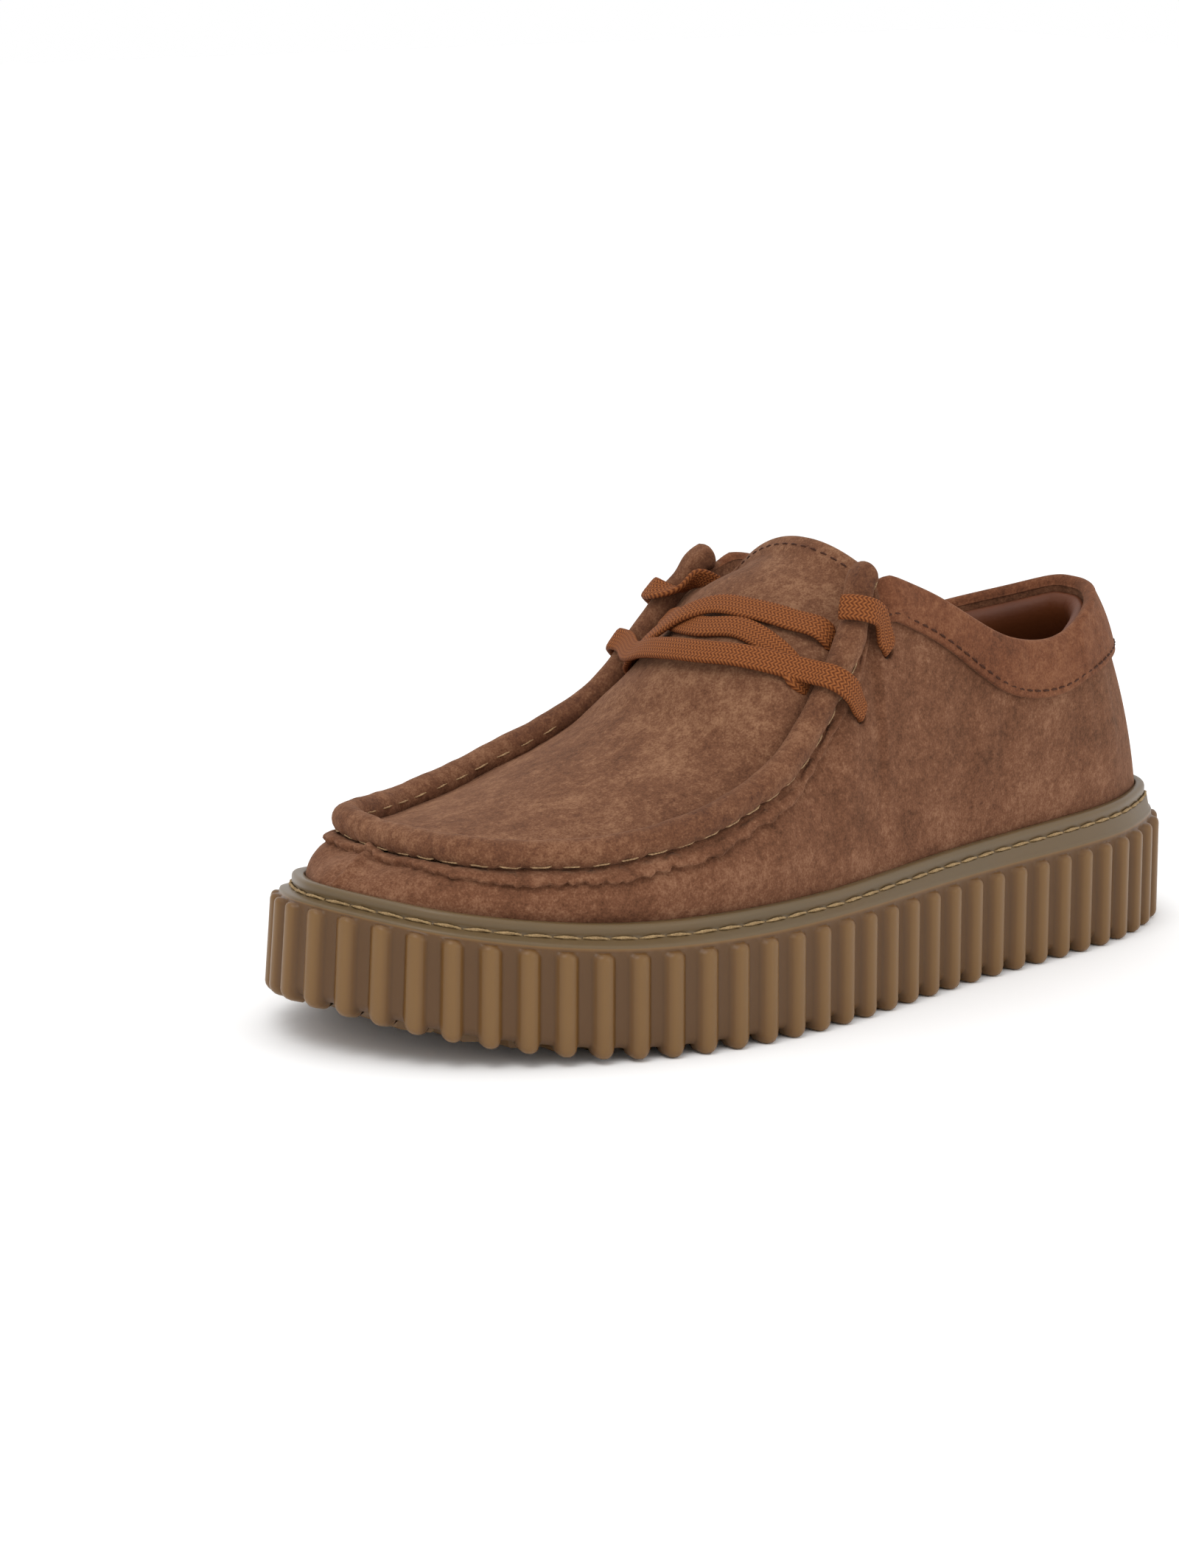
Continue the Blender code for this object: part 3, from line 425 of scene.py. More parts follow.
def wallRim(lengths):
    centre, side, raised = topFrame(lengths)
    foot = wallFoot(lengths)
    chord = centre - foot
    flat = np.linalg.norm(chord[:, :2], axis=1) / np.linalg.norm(chord, axis=1)
    drop = 0.5 * roll["height"] + 2.0 * shoe["gap"] + upper["stripStep"] * flat
    underRoll = centre - raised * drop[:, None] + side * 2.0 * shoe["gap"]
    underBand = centre - np.array([[0.0, 0.0, band["thickness"] + shoe["gap"]]])
    part = rollShare(lengths)[:, None]
    return underBand + (underRoll - underBand) * part


def wallSurface(lengths, level):
    lengths = np.atleast_1d(lengths)
    level = np.reshape(level * np.ones(len(lengths)), (-1, 1))
    foot = wallFoot(lengths)
    rim = wallRim(lengths)
    chord = rim - foot
    run = unit(chord)
    levelOut = np.column_stack([outward(lengths), np.zeros(len(lengths))])
    swell = unit(levelOut - run * np.sum(levelOut * run, axis=1, keepdims=True))
    shares = [row[0] for row in bellyTable]
    sizes = [row[1] for row in bellyTable]
    belly = np.interp(shareOf(outline(lengths)[:, 0]), shares, sizes) * shoe["instepHeight"]
    return foot + chord * level + swell * (4.0 * level * (1.0 - level) * belly[:, None])


def wallNormal(lengths, level):
    lengths = np.atleast_1d(lengths)
    step, rise = fine["normalStep"], fine["levelStep"]
    around = wallSurface(lengths + step, level) - wallSurface(lengths - step, level)
    upward = wallSurface(lengths, level + rise) - wallSurface(lengths, level - rise)
    return unit(np.cross(upward, around))


def wallHeight(lengths):
    return np.linalg.norm(wallRim(lengths) - wallFoot(lengths), axis=1)


def wallPlace(along, high, medial):
    first, last = (footLength(share, medial) for share in holeSearch["shares"])
    lengths = np.linspace(first, last, holeSearch["steps"])
    best = None
    for level in np.linspace(*holeSearch["levels"], holeSearch["levelSteps"]):
        points = wallSurface(lengths, level)
        away = np.hypot(points[:, 0] - xOf(along), points[:, 2] - high * shoe["instepHeight"])
        k = int(np.argmin(away))
        if best is None or away[k] < best[0]:
            best = (away[k], lengths[k], level)
    return best[1], best[2]


def sideLength(share, medial):
    front = footLength(lining["frontFoot"], medial)
    lengths = np.linspace(min(front, toeLength), max(front, toeLength), fine["sideCount"])
    shares = shareOf(topLine(lengths)[:, 0])
    order = np.argsort(shares)
    return float(np.interp(share, shares[order], lengths[order]))


def apronValue(column, share):
    rows = apronTable[::-1]
    return np.interp(share, [row[0] for row in rows], [row[column] for row in rows])


def apronEdge(share, medial):
    length = sideLength(share, medial)
    centre, side, raised = topFrame(length)
    narrowing = apronValue(3, share) * shoe["ballWidth"] * (1.0 if medial else apron["tongueLateral"])
    inset = 0.5 * roll["width"] + 2.0 * shoe["gap"] + narrowing
    return (centre - side * inset + raised * apronValue(2, share) * shoe["instepHeight"])[0]


def apronLine(share, across):
    # one cross line of the sheet; across runs from -1 on the lateral edge to 1 on the medial edge
    lateral = apronEdge(share, False)
    medial = apronEdge(share, True)
    lean = math.radians(apronValue(4, share))
    lift = np.array([-math.sin(lean), 0.0, math.cos(lean)]) * apronValue(1, share) * shoe["instepHeight"]
    return lateral + (medial - lateral) * 0.5 * (across[:, None] + 1.0) + (1.0 - across ** 2)[:, None] * lift


# helpers


def linear(hexColour):
    values = [int(hexColour[i:i + 2], 16) / 255.0 for i in (1, 3, 5)]
    return [v / 12.92 if v <= 0.04045 else ((v + 0.055) / 1.055) ** 2.4 for v in values] + [1.0]


def addNode(tree, kind, settings=None, **links):
    # an input is given by its name, or as i0, i1 and so on by its place
    made = tree.nodes.new(kind)
    for key, value in (settings or {}).items():
        setattr(made, key, value)
    for key, value in links.items():
        target = made.inputs[int(key[1:]) if key[1:].isdigit() else key.replace("_", " ")]
        if isinstance(value, bpy.types.NodeSocket):
            tree.links.new(value, target)
        else:
            target.default_value = value
    return made


def newMaterial(name):
    made = bpy.data.materials.new(name)
    made.use_nodes = True
    tree = made.node_tree
    return made, tree, tree.nodes["Principled BSDF"]


def mathNode(tree, operation, *values):
    inputs = {"i" + str(k): value for k, value in enumerate(values)}
    return addNode(tree, "ShaderNodeMath", {"operation": operation}, **inputs).outputs[0]


def noise(tree, place, scale, detail, roughness=0.5):
    made = addNode(tree, "ShaderNodeTexNoise", None, Vector=place, Scale=scale, Detail=detail,
                   Roughness=roughness)
    return made.outputs["Fac"]


def bump(tree, height, strength, distance, below=None):
    made = addNode(tree, "ShaderNodeBump", None, Strength=strength, Distance=distance, Height=height)
    if below is not None:
        tree.links.new(below, made.inputs["Normal"])
    return made.outputs["Normal"]


def objectPlace(tree):
    return addNode(tree, "ShaderNodeTexCoord").outputs["Object"]


def setFinish(tree, shader, colour, normal, roughness, specular, bending=1.5):
    tree.links.new(colour, shader.inputs["Base Color"])
    if normal is not None:
        tree.links.new(normal, shader.inputs["Normal"])
    shader.inputs["Roughness"].default_value = roughness
    shader.inputs["Specular IOR Level"].default_value = specular
    shader.inputs["IOR"].default_value = bending


def ramp(tree, factor, stops):
    made = addNode(tree, "ShaderNodeValToRGB", None, Fac=factor)
    elements = made.color_ramp.elements
    while len(elements) < len(stops):
        elements.new(0.5)
    for element, (place, colour) in zip(elements, stops):
        element.position = place
        element.color = linear(colour)
    return made.outputs["Color"]


def gridFaces(rows, columns, closeRows=False, closeColumns=False):
    faces = []
    for i in range(rows if closeRows else rows - 1):
        for k in range(columns if closeColumns else columns - 1):
            here = i * columns
            there = (i + 1) % rows * columns
            following = (k + 1) % columns
            faces.append((here + k, here + following, there + following, there + k))
    return faces


def closeRing(first, size):
    # quads across a closed ring of points, for a flat or gently curved end
    faces = []
    low, high = 0, size - 1
    while high - low > 2:
        faces.append((first + low, first + low + 1, first + high - 1, first + high))
        low, high = low + 1, high - 1
    return faces + [tuple(first + k for k in range(low, high + 1))]


def stackRings(name, rings, material):
    # a solid through closed rings that are wide at both ends
    size = len(rings[0])
    faces = gridFaces(len(rings), size, False, True)
    faces += closeRing(0, size) + closeRing((len(rings) - 1) * size, size)
    return makeObject(name, np.vstack(rings), faces, material)


def capped(name, rings, material):
    # a solid through closed rings that are small at both ends
    rows, columns = rings.shape[:2]
    faces = gridFaces(rows, columns, False, True)
    faces += [tuple(range(columns))[::-1], tuple((rows - 1) * columns + k for k in range(columns))]
    return makeObject(name, rings, faces, material)


def makeObject(name, points, faces, material, uv=None):
    moved = np.asarray(points, float).reshape(-1, 3) - np.array([centreX, centreY, 0.0])
    mesh = bpy.data.meshes.new(name)
    mesh.from_pydata(moved.tolist(), [], faces)
    mesh.materials.append(material)
    if uv is not None:
        layer = mesh.uv_layers.new(name="alongAcross")
        corners = np.empty(len(mesh.loops), dtype=np.int32)
        mesh.loops.foreach_get("vertex_index", corners)
        layer.data.foreach_set("uv", np.asarray(uv, float)[corners].ravel())
    made = bpy.data.objects.new(name, mesh)
    bpy.context.scene.collection.objects.link(made)
    work = bmesh.new()
    work.from_mesh(mesh)
    bmesh.ops.recalc_face_normals(work, faces=work.faces[:])
    for face in work.faces:
        face.smooth = True
    work.to_mesh(mesh)
    work.free()
    return made


def keep(piece, slotName, *nodes):
    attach(piece, "root")
    if nodes:
        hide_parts(*nodes)
    return piece


def wave(place, seed, terms=5, base=1.0):
    # sum of a few sines: a soft random curve that is the same each run
    draw = np.random.default_rng(seed)
    total = np.zeros(np.shape(place))
    for k in range(1, terms + 1):
        pace = base * k * draw.uniform(0.8, 1.3)
        total = total + np.sin(np.asarray(place) * pace + draw.uniform(0, 6.3)) / k
    return total


def smoothStep(value):
    value = np.clip(value, 0.0, 1.0)
    return value * value * (3.0 - 2.0 * value)


# materials


def suede(name, dark, middle, light):
    # brushed split leather: dull nap that lies in soft patches, darker where it is pressed
    made, tree, shader = newMaterial(name)
    place = objectPlace(tree)
    tone = 0.0
    fields = {}
    for field, scale, weight in (("patches", 22.0, 0.26), ("brushed", 95.0, 0.20), ("grain", 480.0, 0.26),
                                 ("fibre", 1700.0, 0.28)):
        fields[field] = noise(tree, place, scale, 3.0, 0.65)
        tone = mathNode(tree, "MULTIPLY_ADD", fields[field], weight, tone)
    colour = ramp(tree, tone, [(0.38, dark), (0.5, middle), (0.62, light)])
    nap = bump(tree, fields["fibre"], 0.55, 0.00035)
    setFinish(tree, shader, colour, bump(tree, fields["grain"], 0.4, 0.0005, nap), 0.95, 0.25, 1.45)
    shader.inputs["Sheen Weight"].default_value = 0.2
    shader.inputs["Sheen Roughness"].default_value = 0.5
    shader.inputs["Sheen Tint"].default_value = linear("#c79a78")
    return made


def gumRubber():
    # moulded gum: slightly see-through, dull shine, greyer on the ledge in its own tone; darker in the
    # hollows between the ribs as painted shade, lighter on the rib crests as painted light
    made, tree, shader = newMaterial("gumRubber")
    place = objectPlace(tree)
    # this attribute holds painted shade low in the gaps between ribs, painted light high on the crests, the
    # ledge's own grey, and a darker value for the cup's floor
    crest = addNode(tree, "ShaderNodeAttribute", {"attribute_name": "gumShadeAndTone"}).outputs["Fac"]
    crest = mathNode(tree, "MULTIPLY", crest, 0.90)
    tone = mathNode(tree, "MULTIPLY_ADD", noise(tree, place, 35.0, 3.0), 0.12, crest)
    colour = ramp(tree, tone, [(0.1, "#573a19"), (0.42, "#63441f"), (0.72, "#71522a"), (0.98, "#5e4d34")])
    setFinish(tree, shader, colour, bump(tree, noise(tree, place, 900.0, 2.0), 0.12, 0.0002), 0.4, 0.35, 1.52)
    shader.inputs["Subsurface Weight"].default_value = 0.2
    shader.inputs["Subsurface Radius"].default_value = (0.004, 0.003, 0.0016)
    shader.inputs["Subsurface Scale"].default_value = 0.6
    return made


def smoothLeather(name, dark, light):
    # tanned lining leather: fine pores, soft shine
    made, tree, shader = newMaterial(name)
    place = objectPlace(tree)
    colour = ramp(tree, noise(tree, place, 40.0, 4.0), [(0.3, dark), (0.7, light)])
    pores = addNode(tree, "ShaderNodeTexVoronoi", None, Vector=place, Scale=900.0).outputs["Distance"]
    setFinish(tree, shader, colour, bump(tree, pores, 0.25, 0.00015), 0.55, 0.3)
    return made


def braidedCotton(plait, strand):
    # flat braid of waxed cotton: slanted plaits along both halves, read from the lace's own UV in metres
    made, tree, shader = newMaterial("waxedCotton")
    where = addNode(tree, "ShaderNodeUVMap", {"uv_map": "alongAcross"}).outputs["UV"]
    parts = addNode(tree, "ShaderNodeSeparateXYZ", None, Vector=where).outputs
    folded = mathNode(tree, "PINGPONG", parts["Y"], lace["width"] / 8.0)
    slant = mathNode(tree, "ADD", parts["X"], folded)
    ridges = mathNode(tree, "SINE", mathNode(tree, "MULTIPLY", slant, 2.0 * math.pi / plait))
    strands = mathNode(tree, "SINE", mathNode(tree, "MULTIPLY", parts["Y"], 2.0 * math.pi / strand))
    height = mathNode(tree, "MULTIPLY_ADD", strands, 0.35, ridges)
    tone = mathNode(tree, "MULTIPLY_ADD", height, 0.3, 0.5)
    # painted shade and light: the colour follows the plaits' height, darker in the grooves between them and
    # lighter on their ridges
    colour = ramp(tree, tone, [(0.1, "#4c210a"), (0.5, "#77421d"), (0.9, "#96592d")])
    setFinish(tree, shader, colour, bump(tree, tone, 0.8, 0.0003), 0.8, 0.2)
    return made


def sewingThread(name, dark, light):
    # bonded two-ply thread: dull, a little fluff
    made, tree, shader = newMaterial(name)
    fluff = noise(tree, objectPlace(tree), 2500.0, 2.0)
    setFinish(tree, shader, ramp(tree, fluff, [(0.3, dark), (0.7, light)]), None, 0.7, 0.25)
    return made


brownSuede = suede("brownSuede", "#462918", "#69432e", "#8a634a")
apronSuede = suede("apronSuede", "#47291a", "#6a4530", "#8d674c")
rollSuede = suede("rollSuede", "#43261a", "#66412c", "#886147")
bandSuede = suede("bandSuede", "#462616", "#683d27", "#82563b")
gum = gumRubber()
tanLeather = smoothLeather("tanLeather", "#4a2109", "#5f2f12")
footbedLeather = smoothLeather("footbedLeather", "#5b3824", "#6f4830")
cotton = braidedCotton(0.0011, 0.0010)
soleThread = sewingThread("soleThread", "#7d6444", "#a98f66")
seamThread = sewingThread("seamThread", "#7d6044", "#b2926c")
bandThread = sewingThread("bandThread", "#35190c", "#4b2915")
print("materials made")


# outsole

soleLook = {
    "ribSamples": 16,
    "rodHalf": 0.0031,
    "filletHalf": 0.0050,
    "filletSize": 0.52,
    "edgeSteps": 4,
    "domeSteps": 6,
    "treadWall": 0.0010,
    "treadRound": 0.0012,
    "ledgeRound": 0.0007,
    "grooveBite": 0.0004,
    "cupRound": 0.0004,
    "cupDrop": 0.004,
    "barSink": 0.0004,
    "barBevel": 0.0005,
    "barBorderStep": 8,
}

# how each part of the rubber stands in the gum's colour ramp: the rib value is reached on the crests as
# painted light and falls to nought in the gaps as painted shade; the ledge sits at its own grey, the cup's
# floor lower and darker
gumTone = {"rib": 0.72, "ledge": 1.0, "cup": 0.3, "bar": 0.6}


def capsule(offset, cap):
    # a round rod with soft fillets, narrowing to a round end as cap goes from nought to one
    slim = math.sqrt(max(1.0 - cap * cap, 0.0)) + 1e-6
    rod = np.sqrt(np.clip(1.0 - (offset / (soleLook["rodHalf"] * slim)) ** 2, 0.0, 1.0))
    fillet = soleLook["filletSize"] * np.clip(1.0 - np.abs(offset) / soleLook["filletHalf"], 0.0, 1.0) ** 2
    return np.clip(rod ** 3 + fillet ** 3, 0.0, 1.0) ** (1.0 / 3.0) * slim ** 0.6


def ribStations():
    # lengths round the sole, and how far each stands from its rib's middle
    count = int(round(perimeter / sole["ribPitch"]))
    pitch = perimeter / count
    samples = soleLook["ribSamples"]
    offsets = pitch * (np.arange(samples) / samples - 0.5)
    centres = toeLength + pitch * np.arange(count)
    return (centres[:, None] + offsets[None, :]).ravel(), np.tile(offsets, count)


def ribRings(lengths, offset):
    # the ribbed side, from the tread's edge up to the round rib ends under the ledge
    share = shareOf(outline(lengths)[:, 0])
    deep, reach = sole["treadDepth"], sole["ribUnderReach"]
    radius, relief = sole["ribEdgeRadius"], sole["ribRelief"]
    ledge = ledgeInset(share)
    domeFoot = ribTop(share) - sole["ribDome"]
    inner = reach + soleLook["treadWall"]
    outer = reach - soleLook["treadRound"]
    rows = [(inner, deep, inner, deep, 0.0), (reach, deep, reach, 0.4 * deep, 0.0),
            (outer, deep, outer, 0.0, 0.0), (relief + 2.2 * radius, deep, 1.6 * radius, 0.0, 0.0)]
    for step in range(soleLook["edgeSteps"] + 1):
        turn = 0.5 * math.pi * step / soleLook["edgeSteps"]
        out = radius * (1.0 - math.sin(turn))
        up = radius * (1.0 - math.cos(turn))
        rows.append((relief + out, deep + up, out, up, 0.0))
    for part in (0.25, 0.5, 0.75):
        rows.append((relief + (ledge - relief) * part, deep + radius + (domeFoot - deep - radius) * part,
                     (ledge - relief) * part, radius + (domeFoot - radius) * part, 0.0))
    for step in range(soleLook["domeSteps"] + 1):
        cap = math.sin(0.5 * math.pi * step / soleLook["domeSteps"])
        level = domeFoot + sole["ribDome"] * cap
        rows.append((ledge, level, ledge - relief, level, cap))
    swells = [capsule(offset, row[4]) for row in rows]
    return [ribRow(lengths, swell, *row[:4]) for swell, row in zip(swells, rows)], swells


def lipRings(lengths):
    # ledge, stitch groove, lip and the cup's inner side
    share = shareOf(outline(lengths)[:, 0])
    ledge, lip = ledgeInset(share), lipInset(share)
    top, rim = ribTop(share) + sole["ledgeRise"], lipTop(share)
    groove = rim - sole["grooveDrop"]
    bite, curve, turn = soleLook["grooveBite"], soleLook["ledgeRound"], sole["lipRound"]
    cup, edge = upperInset(share) - shoe["gap"], soleLook["cupRound"]
    section = (
        (ledge, top - curve), (ledge + 0.3 * curve, top - 0.3 * curve), (ledge + curve, top),
        (lip - 2.0 * bite, groove - bite), (lip - 0.2 * bite, groove - 0.6 * bite),
        (lip + bite, groove + bite), (lip, groove + 2.5 * bite),
        (lip, rim - turn), (lip + 0.15 * turn, rim - 0.5 * turn),
        (lip + 0.5 * turn, rim - 0.13 * turn), (lip + turn, rim),
        (cup - edge, rim), (cup, rim - edge), (cup, rim - soleLook["cupDrop"]),
    )
    rings = [ring(lengths, inset, height, sole["springUpperShare"]) for inset, height in section]
    return rings, floorRing(lengths, cup, 0.0)


def markCrest(made, values):
    mark = made.data.attributes.new("gumShadeAndTone", "FLOAT", "POINT")
    mark.data.foreach_set("value", values)


def buildOutsole():
    lengths, offset = ribStations()
    ribs, swells = ribRings(lengths, offset)
    lip, cupFloor = lipRings(lengths)
    made = stackRings("outsoleGum", ribs + lip + [cupFloor], gum)
    size = len(lengths)
    # painted shade and light: each rib row's tone follows its swell, darkest in the gaps between ribs and
    # lightest on the crests; the cup's floor gets a darker value
    tones = [gumTone["rib"] * swell for swell in swells] + [np.full(size, gumTone["ledge"])] * len(lip)
    markCrest(made, np.concatenate(tones + [np.full(size, gumTone["cup"])]))
    return keep(made, "gum_rubber", "outsole")


def buildTread():
    # straight bars with softened edges, inside the ring of rib ends
    border = ring(denseLength[:-1:soleLook["barBorderStep"]], sole["treadRing"], 0.0)
    split = int(np.argmin(border[:, 0]))
    sides = [side[np.argsort(side[:, 0])] for side in (border[:split + 1], border[split:])]
    first = border[:, 0].min() + sole["ribPitch"]
    last = border[:, 0].max() - sole["ribPitch"]
    number = int((last - first) / sole["ribPitch"]) + 1
    bevel = soleLook["barBevel"]
    half = 0.5 * sole["treadBarWidth"]
    points = []
    faces = []
    for middle in np.linspace(first, last, number):
        low = float(spring(shareOf(middle)))
        high = low + sole["treadDepth"] + soleLook["barSink"]
        corner = len(points)
        section = [(-half, high), (-half, low + bevel), (-half + bevel, low), (half - bevel, low),
                   (half, low + bevel), (half, high)]
        for side in sides:
            for along, z in section:
                points.append((middle + along, float(np.interp(middle + along, side[:, 0], side[:, 1])), z))
        faces += [tuple(corner + k for k in range(6)), tuple(corner + 11 - k for k in range(6))]
        for k in range(6):
            after = (k + 1) % 6
            faces.append((corner + k, corner + after, corner + 6 + after, corner + 6 + k))
    made = makeObject("treadBars", points, faces, gum)
    for face in made.data.polygons:
        face.use_smooth = False
    markCrest(made, np.full(len(points), gumTone["bar"]))
    return keep(made, "gum_rubber")


buildOutsole()
buildTread()
print("sole made")


# insole

footbedLook = {"stations": 180, "dish": 0.0012, "edge": 0.0012, "dishRun": 0.016}


def buildFootbed():
    lengths = np.linspace(0.0, perimeter, footbedLook["stations"], endpoint=False)
    inset = upperInset(shareOf(outline(lengths)[:, 0])) + upper["wall"] + shoe["gap"]
    thick = shoe["gap"] + footbed["thickness"]
    edge, dish, run = footbedLook["edge"], footbedLook["dish"], footbedLook["dishRun"]
    section = ((0.0, shoe["gap"]), (0.0, thick - edge), (0.4 * edge, thick - 0.3 * edge), (edge, thick),
               (0.5 * run, thick - 0.6 * dish), (run, thick - dish))
    rings = [floorRing(lengths, inset + more, height) for more, height in section]
    return keep(stackRings("footbed", rings, footbedLeather), "footbed_leather", "insole")


buildFootbed()


# upper

upperLook = {
    "stations": 560,
    "outside": 18,
    "raggedEdge": 0.0004,
    "stripWidth": 0.0038,
    "stripStand": 0.0019,
    "fray": 0.25,
    "pucker": 0.00035,
    "rimLift": 0.0002,
    "rimRise": 0.0016,
    "rimWidth": 0.7,
    "puckerFrom": 0.8,
    "edgeStep": 0.0001,
    "stitchPitch": 0.0078,
    "toeSeam": (-0.0093, 0.0115),
    "toeSeamHeight": 0.0012,
    "toeSeamWidth": 0.0014,
    "ripple": 0.0002,
    "punchSides": 20,
}

# raw edge of the raised strip: how far it hangs past its line, in metres, and its stand
# as a share of stripStand; after it the strip's face: place up to the rim, stand
stripEdge = [(-0.0001, -0.1), (-0.0007, 0.35), (-0.0010, 0.8),
             (-0.0006, 1.05), (0.0005, 1.08), (0.0015, 0.98)]

stripFace = [(0.6, 0.9), (0.8, 0.85), (1.0, 0.8)]


def outerWall(lengths, level, lift=0.0):
    # the wall's outside with its soft ripples and the short seam that runs down the toe
    ripple = upperLook["ripple"] * wave(lengths, 11, 5, 130.0) * np.sin(math.pi * np.clip(level, 0, 1))
    away = lengths - toeLength - upperLook["toeSeam"][0] - upperLook["toeSeam"][1] * level
    seam = upperLook["toeSeamHeight"] * np.exp(-(away / upperLook["toeSeamWidth"]) ** 2)
    return wallSurface(lengths, level) + wallNormal(lengths, level) * (lift + ripple + seam)[:, None]


def wallColumns(lengths):
    share = shareOf(outline(lengths)[:, 0])
    size = wallHeight(lengths)
    onRoll = rollShare(lengths)
    ragged = upperLook["raggedEdge"] * (wave(lengths, 3, 6, 260.0) + 0.6 * wave(lengths, 4, 6, 900.0))
    edge = 1.0 - (upperLook["stripWidth"] + ragged * onRoll) / size
    stitchPhase = 2.0 * math.pi * lengths / upperLook["stitchPitch"]
    pucker = upperLook["pucker"] * onRoll * (0.5 + 0.5 * np.cos(stitchPhase)) ** 2
    stand = upperLook["stripStand"] * onRoll
    fray = 1.0 + upperLook["fray"] * wave(lengths, 6, 6, 700.0)
    columns = [floorRing(lengths, upperInset(share), shoe["gap"])]
    for part in np.linspace(0.0, 1.0, upperLook["outside"]):
        near = smoothStep((part - upperLook["puckerFrom"]) / (1.0 - upperLook["puckerFrom"]))
        columns.append(outerWall(lengths, edge * part, -0.5 * pucker * near))
    for k, (hang, lift) in enumerate(stripEdge):
        level = edge + (hang * fray * onRoll + upperLook["edgeStep"] * (k + 1)) / size
        columns.append(outerWall(lengths, level, stand * lift))
    for part, lift in stripFace:
        columns.append(outerWall(lengths, edge + (1.0 - edge) * part, stand * lift - pucker * part))
    full = np.ones(len(lengths))
    rim = wallSurface(lengths, full)
    rim[:, 2] += upperLook["rimLift"] + upperLook["rimRise"] * onRoll
    columns += [rim, rim - wallNormal(lengths, full) * upperLook["rimWidth"] * upper["wall"]]
    for part in (1.0, 0.9, 0.75, 0.55, 0.35, 0.15, 0.0):
        columns.append(wallSurface(lengths, part * full) - wallNormal(lengths, part * full) * upper["wall"])
    return columns + [floorRing(lengths, upperInset(share) + upper["wall"], shoe["gap"])]


def buildUpper():
    rings = np.stack(wallColumns(np.linspace(0.0, perimeter, upperLook["stations"], endpoint=False)), axis=1)
    made = makeObject("quarterSuede", rings, gridFaces(len(rings), rings.shape[1], True, True), brownSuede)
    punch = holePunches()
    cutter = made.modifiers.new("holes", "BOOLEAN")
    cutter.operation = "DIFFERENCE"
    cutter.solver = "EXACT"
    cutter.use_self = True
    cutter.object = punch
    graph = bpy.context.evaluated_depsgraph_get()
    mesh = bpy.data.meshes.new_from_object(made.evaluated_get(graph))
    made.modifiers.clear()
    made.data = mesh
    bpy.data.objects.remove(punch, do_unlink=True)
    for face in mesh.polygons:
        face.use_smooth = True
    return keep(made, "brown_suede", "upper")


def holeFrame(number, medial):
    length, level = wallPlace(holes[number][0], holes[number][1], medial)
    return wallSurface(length, level)[0], wallNormal(length, level)[0]


def holePunches():
    # round cutters that stand square to the wall at the lace holes
    points = []
    faces = []
    sides = upperLook["punchSides"]
    for medial in (False, True):
        for number in range(len(holes)):
            middle, normal = holeFrame(number, medial)
            turn = Vector(normal).to_track_quat("Z", "Y").to_matrix()
            first = len(points)
            for end in (-2.0, 2.0):
                for k in range(sides):
                    angle = 2.0 * math.pi * k / sides
                    local = Vector((math.cos(angle), math.sin(angle), 0.0)) * 0.5 * lace["holeDiameter"]
                    local.z = end * upper["wall"]
                    points.append(tuple(Vector(middle) + turn @ local))
            faces += [(first + k, first + (k + 1) % sides, first + sides + (k + 1) % sides, first + sides + k)
                      for k in range(sides)]
            faces += [tuple(first + k for k in range(sides)),
                      tuple(first + 2 * sides - 1 - k for k in range(sides))]
    return makeObject("punches", points, faces, brownSuede)


buildUpper()
print("upper made")


# apron and tongue

# freeTop is the share of length where the tongue's sides come free of the roll, over freeRun;
# freeReach is how much of the way in beneath the roll they keep there
apronLook = {
    "across": 48,
    "along": 140,
    "frontRungs": [0.8995, 0.896],
    "tuckIn": 0.22,
    "tuckDown": 0.0022,
    "frontStep": 0.0015,
    "frontPoints": 600,
    "freeTop": 0.450,
    "freeRun": 0.05,
    "freeReach": 0.1,
    "hem": 0.0045,
    "hemFade": 0.0012,
    "hemRise": 0.0007,
}


def underRoll(lengths):
    # where the sheet's edge is sewn in beneath the seam roll
    centre, side, raised = topFrame(lengths)
    return centre - side * apronLook["tuckIn"] * roll["width"] - raised * apronLook["tuckDown"]


def frontTuck(row):
    # the front edge follows the roll round the toe, sewn in beneath it
    share = apronLook["frontRungs"][0]
    first = sideLength(share, False) + apronLook["frontStep"]
    last = sideLength(share, True) - apronLook["frontStep"]
    line = underRoll(np.linspace(first, last, apronLook["frontPoints"]))
    away = np.linalg.norm(row[:, None, :2] - line[None, :, :2], axis=2)
    near = np.maximum.accumulate(np.argmin(away, axis=1))
    even = np.linspace(0.0, len(line) - 1.0, len(row))
    return line[np.round(0.85 * near + 0.15 * even).astype(int)]


def apronPoints():
    across = np.linspace(-1.0, 1.0, apronLook["across"] + 1)
    rows = []
    for share in apronLook["frontRungs"] + apronRungs:
        row = apronLine(share, across)
        sewn = float(smoothStep((share - apronLook["freeTop"]) / apronLook["freeRun"]))
        reach = apronLook["freeReach"] + (1.0 - apronLook["freeReach"]) * sewn
        left = row[0] + np.outer((1.0, 0.5), underRoll(sideLength(share, False))[0] - row[0]) * reach
        right = row[-1] + np.outer((0.5, 1.0), underRoll(sideLength(share, True))[0] - row[-1]) * reach
        rows.append(np.vstack([left, row, right]))
    rows.insert(0, frontTuck(rows[0]))
    knots = np.arange(len(rows), dtype=float)
    flat = np.array(rows).reshape(len(rows), -1)
    smooth = smoothOpen(knots, flat, np.linspace(0.0, knots[-1], apronLook["along"]))
    return smooth.reshape(apronLook["along"], -1, 3)


def gridNormals(grid):
    normal = np.cross(np.gradient(grid, axis=1), np.gradient(grid, axis=0))
    normal = normal / np.linalg.norm(normal, axis=2, keepdims=True)
    return normal if normal[len(grid) // 2, grid.shape[1] // 2, 2] > 0.0 else -normal


